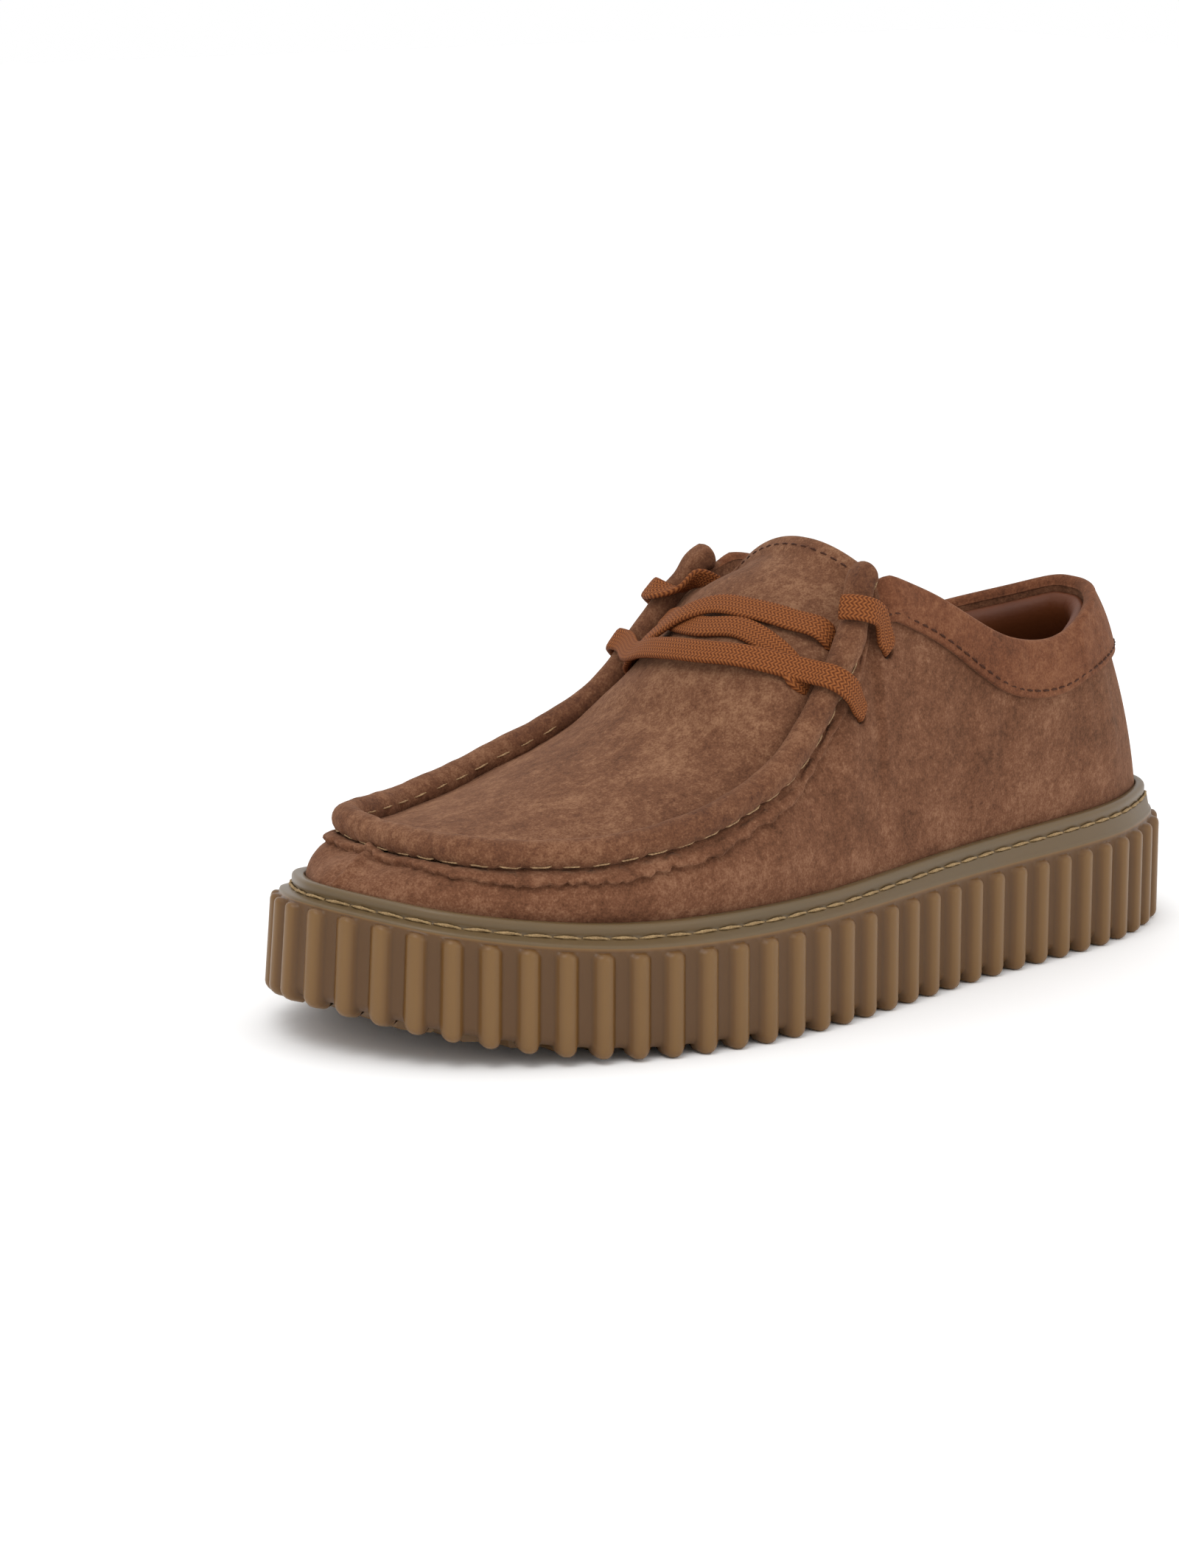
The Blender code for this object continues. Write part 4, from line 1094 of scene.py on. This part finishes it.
def shellOf(name, outside, normals, thickness, material):
    # grid with a wall: outside, a rounded rim, inside
    inside = outside - normals * thickness
    middle = outside - normals * 0.5 * thickness
    rows, columns = outside.shape[:2]
    points = [outside.reshape(-1, 3), inside.reshape(-1, 3)]
    faces = gridFaces(rows, columns)
    faces += [tuple(rows * columns + k for k in face[::-1]) for face in gridFaces(rows, columns)]
    border = [(0, k) for k in range(columns)] + [(i, columns - 1) for i in range(1, rows)]
    border += [(rows - 1, k) for k in range(columns - 2, -1, -1)] + [(i, 0) for i in range(rows - 2, 0, -1)]
    first = 2 * rows * columns
    bulge = []
    for i, k in border:
        neighbour = outside[min(max(i, 1), rows - 2), min(max(k, 1), columns - 2)]
        out = outside[i, k] - neighbour
        out = out / (np.linalg.norm(out) + 1e-9)
        bulge.append(middle[i, k] + out * 0.4 * thickness)
    points.append(np.array(bulge))
    count = len(border)
    for n in range(count):
        m = (n + 1) % count
        a, b = border[n], border[m]
        here, there = a[0] * columns + a[1], b[0] * columns + b[1]
        faces.append((there, here, first + n, first + m))
        faces.append((first + m, first + n, rows * columns + here, rows * columns + there))
    return makeObject(name, np.vstack(points), faces, material)


def buildApron():
    outside = apronPoints()
    normals = gridNormals(outside)
    away = np.linalg.norm(outside - outside[-1], axis=2)
    hem = apronLook["hemRise"] * (1.0 - smoothStep((away - apronLook["hem"]) / apronLook["hemFade"]))
    outside = outside + normals * hem[:, :, None]
    made = shellOf("apronTongueSuede", outside, normals, apron["thickness"], apronSuede)
    return keep(made, "apron_suede", "apron_tongue")


buildApron()


# seam roll

rollLook = {
    "stations": 640,
    "sides": 20,
    "pucker": 0.00035,
    "wander": 0.00012,
    "endSteps": 5,
    "gather": 0.012,
    "fold": 0.09,
    "neck": 0.10,
    "neckPlace": 0.0075,
    "neckWidth": 0.0022,
}


def buildRoll():
    # puckered by its stitches, with folds and a narrow neck where each end is gathered
    lengths = np.linspace(rollStart, rollEnd, rollLook["stations"])
    centre, side, raised = topFrame(lengths)
    stitchPhase = 2.0 * math.pi * lengths / upperLook["stitchPitch"]
    squeeze = rollLook["pucker"] * (0.5 + 0.5 * np.cos(stitchPhase)) ** 3
    wander = rollLook["wander"] * wave(lengths, 21, 5, 150.0)
    away = np.minimum(lengths - rollStart, rollEnd - lengths)
    near = 1.0 - smoothStep(away / rollLook["gather"])
    neck = rollLook["neck"] * np.exp(-((away - rollLook["neckPlace"]) / rollLook["neckWidth"]) ** 2)
    angles = 2.0 * math.pi * np.arange(rollLook["sides"]) / rollLook["sides"]
    lower = np.clip(-np.sin(angles) + 0.4, 0.0, 1.0)

    def section(i, middle, wide, tall):
        return middle + np.outer(np.cos(angles) * wide, side[i]) + np.outer(np.sin(angles) * tall, raised[i])

    rings = []
    for i in range(len(lengths)):
        twist = 0.6 * wave(away[i], 27, 3, 300.0)
        folds = 1.0 - neck[i] + near[i] * rollLook["fold"] * np.cos(5.0 * angles + twist)
        change = wander[i] - squeeze[i] * lower
        wide = (0.5 * roll["width"] + change) * folds
        rings.append(section(i, centre[i], wide, (0.5 * roll["height"] + change) * folds))
    for end, other in ((0, 1), (-1, -2)):
        out = unit((centre[end] - centre[other])[None, :])[0]
        caps = []
        for step in range(1, rollLook["endSteps"] + 1):
            turn = 0.5 * math.pi * step / rollLook["endSteps"]
            half = 0.5 * max(math.cos(turn), 0.05)
            middle = centre[end] + out * roll["endLength"] * math.sin(turn)
            caps.append(section(end, middle, roll["width"] * half, roll["height"] * half))
        rings = caps[::-1] + rings if end == 0 else rings + caps
    return keep(capped("apronRollSuede", np.array(rings), rollSuede), "roll_suede", "apron_roll")


buildRoll()
print("apron, tongue and roll made")


# collar band and lining

bandLook = {
    "stations": 300,
    "pad": 0.0004,
    "ripple": 0.0002,
    "frontFoot": 0.4515,
    "front": 0.0108,
    "side": 0.0142,
    "narrowFrom": 0.27,
    "narrowRun": 0.16,
    "endTaper": 0.005,
    "endThin": 0.35,
}

liningLook = {"stations": 260, "wrinkle": 0.00016, "fill": 0.6}

# the lining's section: depth as a share of its own, stand from the wall as a share of its thickness
liningBack = [(0.02, 0.0), (0.35, 0.0), (0.7, 0.0), (1.0, 0.0)]

liningFace = [(0.99, 0.2), (0.92, 0.42), (0.8, 0.6), (0.65, 0.75), (0.5, 0.92), (0.35, 1.0), (0.22, 1.0),
              (0.12, 0.92), (0.05, 0.75), (0.01, 0.5), (0.0, 0.25)]


def collarStations(front, count):
    return np.linspace(footLength(front, True), footLength(front, False) + perimeter, count)


def bandWidth(lengths):
    share = shareOf(outline(lengths)[:, 0])
    back = band["heel"] + (bandLook["side"] - band["heel"]) * np.clip(share / band["heelShare"], 0.0, 1.0)
    narrow = smoothStep((share - bandLook["narrowFrom"]) / bandLook["narrowRun"])
    return back + (bandLook["front"] - bandLook["side"]) * narrow


def buildBand():
    # one strip of suede: up the outside, round over the rim and a little way down the inside
    lengths = collarStations(bandLook["frontFoot"], bandLook["stations"])
    size = wallHeight(lengths)
    low = 1.0 - bandWidth(lengths) / size
    ends = np.minimum(lengths - lengths[0], lengths[-1] - lengths)
    thin = bandLook["endThin"] + (1.0 - bandLook["endThin"]) * smoothStep(ends / bandLook["endTaper"])
    outer = (band["clear"] + band["thickness"]) * thin
    full = np.ones(len(lengths))
    rim = wallSurface(lengths, full)
    out = wallNormal(lengths, full)
    up = np.array([[0.0, 0.0, 1.0]])
    columns = []
    for part, stand in ((0.0, 0.1), (-0.01, 0.6), (0.01, 0.95), (0.06, 1.0)):
        level = low + (full - low) * part
        columns.append(wallSurface(lengths, level) + wallNormal(lengths, level) * (stand * outer)[:, None])
    ripple = bandLook["ripple"] * wave(lengths, 31, 5, 120.0)
    for part in (0.15, 0.25, 0.35, 0.5, 0.65, 0.8, 0.92):
        level = low + (full - low) * part
        pad = bandLook["pad"] * math.sin(math.pi * min(1.0, (part - 0.1) / 0.9)) + ripple
        stand = (outer + pad * thin)[:, None]
        columns.append(wallSurface(lengths, level) + wallNormal(lengths, level) * stand)
    wide = 0.5 * (outer + upper["wall"])[:, None]
    core = rim + out * (outer[:, None] - wide)
    for turn in np.radians((0.0, 30.0, 60.0, 90.0, 120.0, 150.0, 180.0)):
        columns.append(core + out * wide * math.cos(turn) + up * outer[:, None] * math.sin(turn))
    inner = 0.1 * outer[:, None]
    columns.append(rim - out * (upper["wall"] + inner) + up * inner)
    columns.append(rim + out * inner + up * inner)
    level = 0.5 * (low + full)
    columns.append(wallSurface(lengths, level) + wallNormal(lengths, level) * inner)
    return keep(capped("collarBandSuede", np.stack(columns, axis=1), bandSuede), "band_suede", "collar_band")


def buildLining():
    lengths = collarStations(lining["frontFoot"], liningLook["stations"])
    size = wallHeight(lengths)
    columns = []
    for depth, thick in liningBack + liningFace:
        level = 1.0 - (lining["topDrop"] + depth * lining["depth"]) / size
        fold = liningLook["wrinkle"] * wave(lengths, 41, 5, 140.0) * thick
        away = upper["wall"] + lining["clear"] + thick * lining["thick"] + fold
        columns.append(wallSurface(lengths, level) - wallNormal(lengths, level) * away[:, None])
    made = capped("collarLiningLeather", np.stack(columns, axis=1), tanLeather)
    keep(made, "tan_leather", "collar_lining")


buildBand()
buildLining()
print("collar made")


# laces

laceLook = {
    "step": 0.0008,
    "sides": 14,
    "pinch": 0.5,
    "dent": 0.12,
    "clear": 0.0011,
    "barLift": 0.0011,
    "risingLift": -0.0003,
    "fallingLift": -0.0007,
    "endRollLift": 0.0002,
}

# degrees round the seam roll, from its outside over its top
barAngles = (-5.0, 30.0, 65.0, 100.0)

endAngles = (10.0, 40.0, 70.0, 100.0, 120.0)

# shares of length where the lace passes over the roll, lateral and medial
endRollPlaces = (0.482, 0.497)

barRollPlaces = (0.525, 0.532)

# crossings over the tongue: share of length, place across from lateral (-1) to medial (1)
laceBar = [(0.540, -0.45), (0.545, -0.2), (0.548, 0.2), (0.547, 0.55), (0.545, 0.85)]

laceRising = [(0.498, -0.98), (0.502, -0.65), (0.506, -0.25), (0.510, 0.15), (0.519, 0.38), (0.528, 0.6),
              (0.543, 0.98)]

laceFalling = [(0.531, -0.98), (0.526, -0.85), (0.5215, -0.6), (0.520, -0.3), (0.526, 0.1), (0.522, 0.5),
               (0.508, 0.98)]

# where the rising strand lies over the falling one: place across, reach, extra height
risingBump = (0.42, 0.3, 0.0016)

# the hidden medial end: share of length, rise in metres, lean outward, width left of it
tuckedPlaces = [(0.488, 0.0022, 0.5, 0.95), (0.478, 0.0008, 1.2, 0.85), (0.470, -0.0040, 2.0, 0.75)]

# through a hole: way up towards the roll, way out from the wall's face, width left of it
holeOutside = [(0.0042, 0.0012, 0.98), (0.0014, 0.0004, 0.74)]

holeInside = [(0.0006, 0.0, 0.5), (0.0035, 0.0008, 0.75)]

# down between tongue and roll: place across where the lace leaves the tongue, way above the gap
# there, then way in from the roll and way down
dipPlaces = {"reach": 0.98, "above": 0.0006, "beside": 0.0010, "down": 0.0075}

coarseApron = np.array([apronLine(share, np.linspace(-1.0, 1.0, 13)) for share in apronRungs])
coarseNormals = gridNormals(coarseApron)


def tonguePlace(share, across):
    row = np.interp(-share, [-rung for rung in apronRungs], np.arange(len(apronRungs)))
    column = 0.5 * (across + 1.0) * (coarseApron.shape[1] - 1)
    i = int(min(row, len(apronRungs) - 2))
    k = int(min(column, coarseApron.shape[1] - 2))
    values = []
    for field in (coarseApron, coarseNormals):
        near = field[i, k] + (field[i, k + 1] - field[i, k]) * (column - k)
        far = field[i + 1, k] + (field[i + 1, k + 1] - field[i + 1, k]) * (column - k)
        values.append(near + (far - near) * (row - i))
    return values[0], values[1] / np.linalg.norm(values[1])


def overTongue(places, lift, crossing=None):
    path = []
    for share, across in places:
        point, normal = tonguePlace(share, across)
        stand = laceLook["clear"] + 0.5 * lace["thickness"] + lift
        if crossing:
            stand += crossing[2] * math.exp(-((across - crossing[0]) / crossing[1]) ** 2)
        path.append((point + normal * stand, normal, 1.0))
    return path


def rollPlace(share, medial):
    return (value[0] for value in topFrame(sideLength(share, medial)))


def overRoll(share, medial, rollLift, angles):
    stand = laceLook["clear"] + 0.5 * lace["thickness"] + rollLift
    centre, side, raised = rollPlace(share, medial)
    path = []
    for angle in np.radians(angles):
        out = side * math.cos(angle) + raised * math.sin(angle)
        wide = side * (0.5 * roll["width"] + stand) * math.cos(angle)
        path.append((centre + wide + raised * (0.5 * roll["height"] + stand) * math.sin(angle), out, 1.0))
    return path


def holePassage(number, medial, toward):
    # from above the hole on the outside, in through it, to just inside
    middle, normal = holeFrame(number, medial)
    up = toward - middle
    up = up - normal * float(np.dot(up, normal))
    up = up / np.linalg.norm(up)
    half = 0.5 * lace["thickness"]
    (highUp, highOut, highWide), (lowUp, lowOut, lowWide) = holeOutside
    (inUp, inDeep, inWide), (behindUp, behindDeep, behindWide) = holeInside
    return [
        (middle + up * highUp + normal * (half + highOut), normal, highWide),
        (middle + up * lowUp + normal * (half + lowOut), normal * 0.8 - up * 0.6, lowWide),
        (middle - normal * 0.5 * upper["wall"], -up, laceLook["pinch"]),
        (middle + up * inUp - normal * (upper["wall"] + half + inDeep), -up - normal, inWide),
        (middle + up * behindUp - normal * (upper["wall"] + half + behindDeep), -normal, behindWide),
    ]


def tongueDip(share, medial):
    # down between the tongue's edge and the seam roll
    point, normal = tonguePlace(share, dipPlaces["reach"] if medial else -dipPlaces["reach"])
    centre, side, raised = rollPlace(share, medial)
    gapMiddle = 0.5 * (point + centre - side * 0.5 * roll["width"])
    beside = centre - side * (0.5 * roll["width"] + dipPlaces["beside"])
    return [(gapMiddle + raised * dipPlaces["above"], normal + side, 0.9),
            (beside - raised * dipPlaces["down"], side, 0.85)]


def tuckedEnd():
    # the medial end runs up between tongue and roll and is hidden behind the tongue
    path = []
    for share, rise, lean, width in tuckedPlaces:
        point = tonguePlace(share, dipPlaces["reach"])[0]
        centre, side, raised = rollPlace(share, True)
        middle = 0.45 * point + 0.55 * (centre - side * 0.5 * roll["width"])
        path.append((middle + raised * rise, raised + side * lean, width))
    return path


def laceControls():
    # points from the lateral end to the medial end, each with its upward direction and share of width
    endLateral = overRoll(endRollPlaces[0], False, laceLook["endRollLift"], endAngles)
    endMedial = overRoll(endRollPlaces[1], True, laceLook["endRollLift"], endAngles)
    barLateral = overRoll(barRollPlaces[0], False, 0.0, barAngles)
    barMedial = overRoll(barRollPlaces[1], True, 0.0, barAngles)
    controls = endLateral[::-1] + holePassage(1, False, endLateral[0][0])
    controls += tongueDip(laceRising[0][0], False)[::-1]
    controls += overTongue(laceRising, laceLook["risingLift"], risingBump)
    controls += tongueDip(laceRising[-1][0], True)
    controls += holePassage(0, True, barMedial[0][0])[::-1] + barMedial
    controls += overTongue(laceBar[::-1], laceLook["barLift"])
    controls += barLateral[::-1] + holePassage(0, False, barLateral[0][0])
    controls += tongueDip(laceFalling[0][0], False)[::-1]
    controls += overTongue(laceFalling, laceLook["fallingLift"])
    controls += tongueDip(laceFalling[-1][0], True)
    return controls + holePassage(1, True, endMedial[0][0])[::-1] + endMedial[:-1] + tuckedEnd()


def buildLace():
    # a flat band swept along its points, with its upward direction carried on so that it doesn't twist
    controls = laceControls()
    points = np.array([row[0] for row in controls])
    knots = np.append(0.0, np.cumsum(np.linalg.norm(np.diff(points, axis=0), axis=1)))
    places = np.linspace(0.0, knots[-1], int(knots[-1] / laceLook["step"]))
    centre = smoothOpen(knots, points, places)
    along = unit(np.gradient(centre, axis=0))
    carried = np.zeros_like(centre)
    carried[0] = np.cross(along[0], np.cross(controls[0][1], along[0]))
    carried[0] /= np.linalg.norm(carried[0])
    for i in range(1, len(centre)):
        turned = carried[i - 1] - along[i] * np.dot(carried[i - 1], along[i])
        carried[i] = turned / np.linalg.norm(turned)
    second = np.cross(along, carried)
    at = np.clip(np.searchsorted(places, knots), 0, len(places) - 1)
    wanted = np.array([row[1] for row in controls])
    angle = np.arctan2(np.sum(wanted * second[at], axis=1), np.sum(wanted * carried[at], axis=1))
    angle = np.interp(places, knots, np.unwrap(angle, period=math.pi))[:, None]
    normal = carried * np.cos(angle) + second * np.sin(angle)
    wide = np.cross(normal, along)
    share = np.interp(places, knots, [row[2] for row in controls])
    length = np.append(0.0, np.cumsum(np.linalg.norm(np.diff(centre, axis=0), axis=1)))
    sides = laceLook["sides"]
    turns = 2.0 * math.pi * np.arange(sides) / sides
    across = np.sign(np.cos(turns)) * np.abs(np.cos(turns)) ** 0.6
    tall = np.sign(np.sin(turns)) * np.abs(np.sin(turns)) ** 0.75
    hollow = 1.0 - laceLook["dent"] * (1.0 - across ** 2) ** 2
    sideways = 0.5 * lace["width"] * share[:, None] * across[None, :]
    upward = 0.5 * lace["thickness"] * (tall * hollow)[None, :] / share[:, None] ** 0.4
    rings = centre[:, None, :] + wide[:, None, :] * sideways[:, :, None]
    rings = rings + normal[:, None, :] * upward[:, :, None]
    uv = np.stack([np.repeat(length, sides), np.tile(0.5 * lace["width"] * across, len(length))], axis=1)
    faces = gridFaces(len(length), sides, False, True)
    faces += [tuple(range(sides)), tuple((len(length) - 1) * sides + k for k in range(sides))]
    made = makeObject("braidedLace", rings, faces, cotton, uv)
    print("lace length mm", round(1000.0 * float(length[-1])))
    return keep(made, "waxed_cotton", "laces", "lace_end_lateral", "lace_end_medial")


buildLace()
print("lace made")


# stitches

stitchLook = {
    "sole": {"pitch": 0.0078, "length": 0.0072, "thick": 0.00085, "points": 700},
    "seam": {"pitch": 0.0078, "length": 0.0056, "thick": 0.00052, "points": 800},
    "band": {"pitch": 0.0036, "length": 0.0028, "thick": 0.00055, "points": 500},
    "hem": {"pitch": 0.0034, "length": 0.0026, "thick": 0.00055},
    "rings": 7,
    "sides": 8,
    "turnJitter": 0.05,
    "stand": 0.0002,
    "soleInset": 0.00035,
    "soleLean": 0.55,
    "bandInset": 0.0020,
    "hemRow": 4,
    "hemSpare": 5,
}

# rows along the seam roll: name, degrees round the roll, length left free at each end, seed
rollRows = [("outerSeamStitches", -46.0, 0.002, 7), ("innerSeamStitches", 170.0, 0.052, 9)]


def stitchShape(name, size):
    # two-ply thread bent down into the material at both ends
    rings = []
    sides = stitchLook["sides"]
    for part in np.linspace(0.0, 1.0, stitchLook["rings"]):
        x = size["length"] * (part - 0.5)
        sink = 0.75 * size["thick"] * abs(2.0 * part - 1.0) ** 4
        slim = 1.0 - 0.3 * abs(2.0 * part - 1.0) ** 3
        for j in range(sides):
            turn = 2.0 * math.pi * j / sides + 5.0 * part
            radius = 0.5 * size["thick"] * slim * (1.0 + 0.22 * math.cos(4.0 * math.pi * j / sides))
            rings.append((x, radius * math.cos(turn), radius * math.sin(turn) - sink))
    faces = gridFaces(stitchLook["rings"], sides, False, True)
    faces += [tuple(range(sides))[::-1], tuple(len(rings) - sides + j for j in range(sides))]
    mesh = bpy.data.meshes.new(name)
    mesh.from_pydata(rings, [], faces)
    for face in mesh.polygons:
        face.use_smooth = True
    made = bpy.data.objects.new(name, mesh)
    bpy.context.scene.collection.objects.link(made)
    return made


def stitchTree():
    # lays one stitch at each pitch along an edge, facing outward, with a small random turn
    tree = bpy.data.node_groups.new("stitchRow", "GeometryNodeTree")
    face = tree.interface
    face.new_socket("Geometry", in_out="INPUT", socket_type="NodeSocketGeometry")
    for name, kind in (("Stitch", "Object"), ("Pitch", "Float"), ("Jitter", "Float"), ("Seed", "Int"),
                       ("Thread", "Material")):
        face.new_socket(name, in_out="INPUT", socket_type="NodeSocket" + kind)
    face.new_socket("Geometry", in_out="OUTPUT", socket_type="NodeSocketGeometry")
    entry = tree.nodes.new("NodeGroupInput").outputs
    curve = addNode(tree, "GeometryNodeMeshToCurve", None, Mesh=entry["Geometry"])
    dots = addNode(tree, "GeometryNodeCurveToPoints", {"mode": "LENGTH"}, Curve=curve.outputs[0],
                   Length=entry["Pitch"])
    out = addNode(tree, "GeometryNodeInputNamedAttribute", {"data_type": "FLOAT_VECTOR"}, Name="out")
    first = addNode(tree, "FunctionNodeAlignRotationToVector", {"axis": "X"}, Vector=dots.outputs["Tangent"])
    second = addNode(tree, "FunctionNodeAlignRotationToVector", {"axis": "Z", "pivot_axis": "X"},
                     Rotation=first.outputs[0], Vector=out.outputs[0])
    jitter = addNode(tree, "FunctionNodeRandomValue", {"data_type": "FLOAT"}, Seed=entry["Seed"])
    tree.links.new(mathNode(tree, "MULTIPLY", entry["Jitter"], -1.0), jitter.inputs[2])
    tree.links.new(entry["Jitter"], jitter.inputs[3])
    spin = addNode(tree, "ShaderNodeCombineXYZ", None, Z=jitter.outputs[1])
    turned = addNode(tree, "FunctionNodeRotateRotation", {"rotation_space": "LOCAL"},
                     Rotation=second.outputs[0])
    spun = addNode(tree, "FunctionNodeEulerToRotation", None, Euler=spin.outputs[0])
    tree.links.new(spun.outputs[0], turned.inputs[1])
    source = addNode(tree, "GeometryNodeObjectInfo", None, Object=entry["Stitch"])
    placed = addNode(tree, "GeometryNodeInstanceOnPoints", None, Points=dots.outputs["Points"],
                     Instance=source.outputs["Geometry"], Rotation=turned.outputs[0])
    solid = addNode(tree, "GeometryNodeRealizeInstances", None, Geometry=placed.outputs[0])
    painted = addNode(tree, "GeometryNodeSetMaterial", None, Geometry=solid.outputs[0],
                      Material=entry["Thread"])
    addNode(tree, "NodeGroupOutput", None, Geometry=painted.outputs[0])
    return tree


stitchNodes = stitchTree()


def stitchRow(name, points, outs, kind, thread, seed, closed=False):
    size = stitchLook[kind]
    mesh = bpy.data.meshes.new(name)
    moved = np.asarray(points) - np.array([centreX, centreY, 0.0])
    count = len(moved)
    edges = [(k, (k + 1) % count) for k in range(count if closed else count - 1)]
    mesh.from_pydata(moved.tolist(), edges, [])
    mark = mesh.attributes.new("out", "FLOAT_VECTOR", "POINT")
    mark.data.foreach_set("vector", np.asarray(outs, float).ravel())
    made = bpy.data.objects.new(name, mesh)
    bpy.context.scene.collection.objects.link(made)
    shape = stitchShape(name + "Shape", size)
    modifier = made.modifiers.new("stitches", "NODES")
    modifier.node_group = stitchNodes
    values = {"Stitch": shape, "Pitch": size["pitch"], "Jitter": stitchLook["turnJitter"], "Seed": seed,
              "Thread": thread}
    for item in stitchNodes.interface.items_tree:
        if item.in_out == "INPUT" and item.name in values:
            modifier[item.identifier] = values[item.name]
    graph = bpy.context.evaluated_depsgraph_get()
    solid = bpy.data.meshes.new_from_object(made.evaluated_get(graph))
    made.modifiers.clear()
    made.data = solid
    bpy.data.objects.remove(shape, do_unlink=True)
    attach(made, "root")
    return made


def soleStitches():
    lengths = np.linspace(0.0, perimeter, stitchLook["sole"]["points"], endpoint=False)
    share = shareOf(outline(lengths)[:, 0])
    height = lipTop(share) - sole["grooveDrop"] + stitchLook["stand"]
    points = ring(lengths, lipInset(share) - stitchLook["soleInset"], height, sole["springUpperShare"])
    out = np.column_stack([outward(lengths), np.full(len(lengths), stitchLook["soleLean"])])
    stitchRow("soleStitches", points, unit(out), "sole", soleThread, 5, True)


def rollStitches():
    for name, degrees, spare, seed in rollRows:
        lengths = np.linspace(rollStart + spare, rollEnd - spare, stitchLook["seam"]["points"])
        centre, side, raised = topFrame(lengths)
        turn = math.radians(degrees)
        out = side * math.cos(turn) + raised * math.sin(turn)
        stand = side * math.cos(turn) * 0.5 * roll["width"] + raised * math.sin(turn) * 0.5 * roll["height"]
        stitchRow(name, centre + stand, out, "seam", seamThread, seed)


def bandStitches():
    lengths = collarStations(band["frontFoot"], stitchLook["band"]["points"])
    size = wallHeight(lengths)
    level = 1.0 - (bandWidth(lengths) - stitchLook["bandInset"]) / size
    normal = wallNormal(lengths, level)
    stand = band["clear"] + band["thickness"] + stitchLook["stand"]
    points = wallSurface(lengths, level) + normal * stand
    stitchRow("bandStitches", points, normal, "band", bandThread, 11)


def hemStitches():
    outside = apronPoints()
    normals = gridNormals(outside)
    spare = stitchLook["hemSpare"]
    row = outside[-stitchLook["hemRow"], spare:-spare]
    out = normals[-stitchLook["hemRow"], spare:-spare]
    stand = apronLook["hemRise"] + 0.5 * stitchLook["stand"]
    stitchRow("hemStitches", row + out * stand, out, "hem", bandThread, 13)


soleStitches()
rollStitches()
bandStitches()
hemStitches()
print("stitches made")


# floor, light and camera

studio = {
    "floorSize": 6.0,
    "floor": "#ffffff",
    "world": "#ffffff",
    "worldStrength": 1.0,
    "lightTarget": (0.0, 0.0, 0.05),
}

# area lights: name, place, size in metres, power in watts
lights = [
    ("keyLight", (-0.9, -0.5, 1.5), 0.9, 9.0),
    ("topLight", (0.3, 0.4, 1.6), 1.4, 2.0),
    ("sideLight", (0.6, -1.6, 0.7), 1.0, 3.0),
]

# the photograph's viewpoint: lens in millimetres, place, and the camera's own axes
view = {
    "lens": 118.39,
    "place": (-0.91834, -1.01358, 0.34087),
    "right": (0.76557, -0.64312, 0.01740),
    "above": (0.11969, 0.16894, 0.97833),
    "behind": (-0.63213, -0.74690, 0.20631),
}


def buildStudio():
    mesh = bpy.data.meshes.new("paleFloor")
    half = 0.5 * studio["floorSize"]
    corners = [(-half, -half, 0), (half, -half, 0), (half, half, 0), (-half, half, 0)]
    mesh.from_pydata(corners, [], [(0, 1, 2, 3)])
    made, tree, shader = newMaterial("paleFloor")
    shader.inputs["Base Color"].default_value = linear(studio["floor"])
    shader.inputs["Roughness"].default_value = 0.8
    mesh.materials.append(made)
    floor = bpy.data.objects.new("paleFloor", mesh)
    bpy.context.scene.collection.objects.link(floor)
    world = bpy.data.worlds.new("whiteRoom")
    world.use_nodes = True
    background = world.node_tree.nodes["Background"]
    background.inputs["Color"].default_value = linear(studio["world"])
    background.inputs["Strength"].default_value = studio["worldStrength"]
    bpy.context.scene.world = world
    bpy.context.scene.view_settings.view_transform = "Standard"
    for name, place, size, power in lights:
        data = bpy.data.lights.new(name, "AREA")
        data.energy = power
        data.size = size
        light = bpy.data.objects.new(name, data)
        light.location = place
        light.rotation_mode = "QUATERNION"
        aim = Vector(studio["lightTarget"]) - Vector(place)
        light.rotation_quaternion = aim.to_track_quat("-Z", "Y")
        bpy.context.scene.collection.objects.link(light)


def buildCamera():
    data = bpy.data.cameras.new("photoCamera")
    data.lens = view["lens"]
    data.sensor_width = 36.0
    data.sensor_fit = "AUTO"
    data.clip_start = 0.05
    data.clip_end = 20.0
    camera = bpy.data.objects.new("photoCamera", data)
    turn = Matrix((view["right"], view["above"], view["behind"])).transposed().to_4x4()
    camera.matrix_world = Matrix.Translation(view["place"]) @ turn
    bpy.context.scene.collection.objects.link(camera)
    bpy.context.scene.camera = camera


buildStudio()
buildCamera()
print("floor, light and camera made")
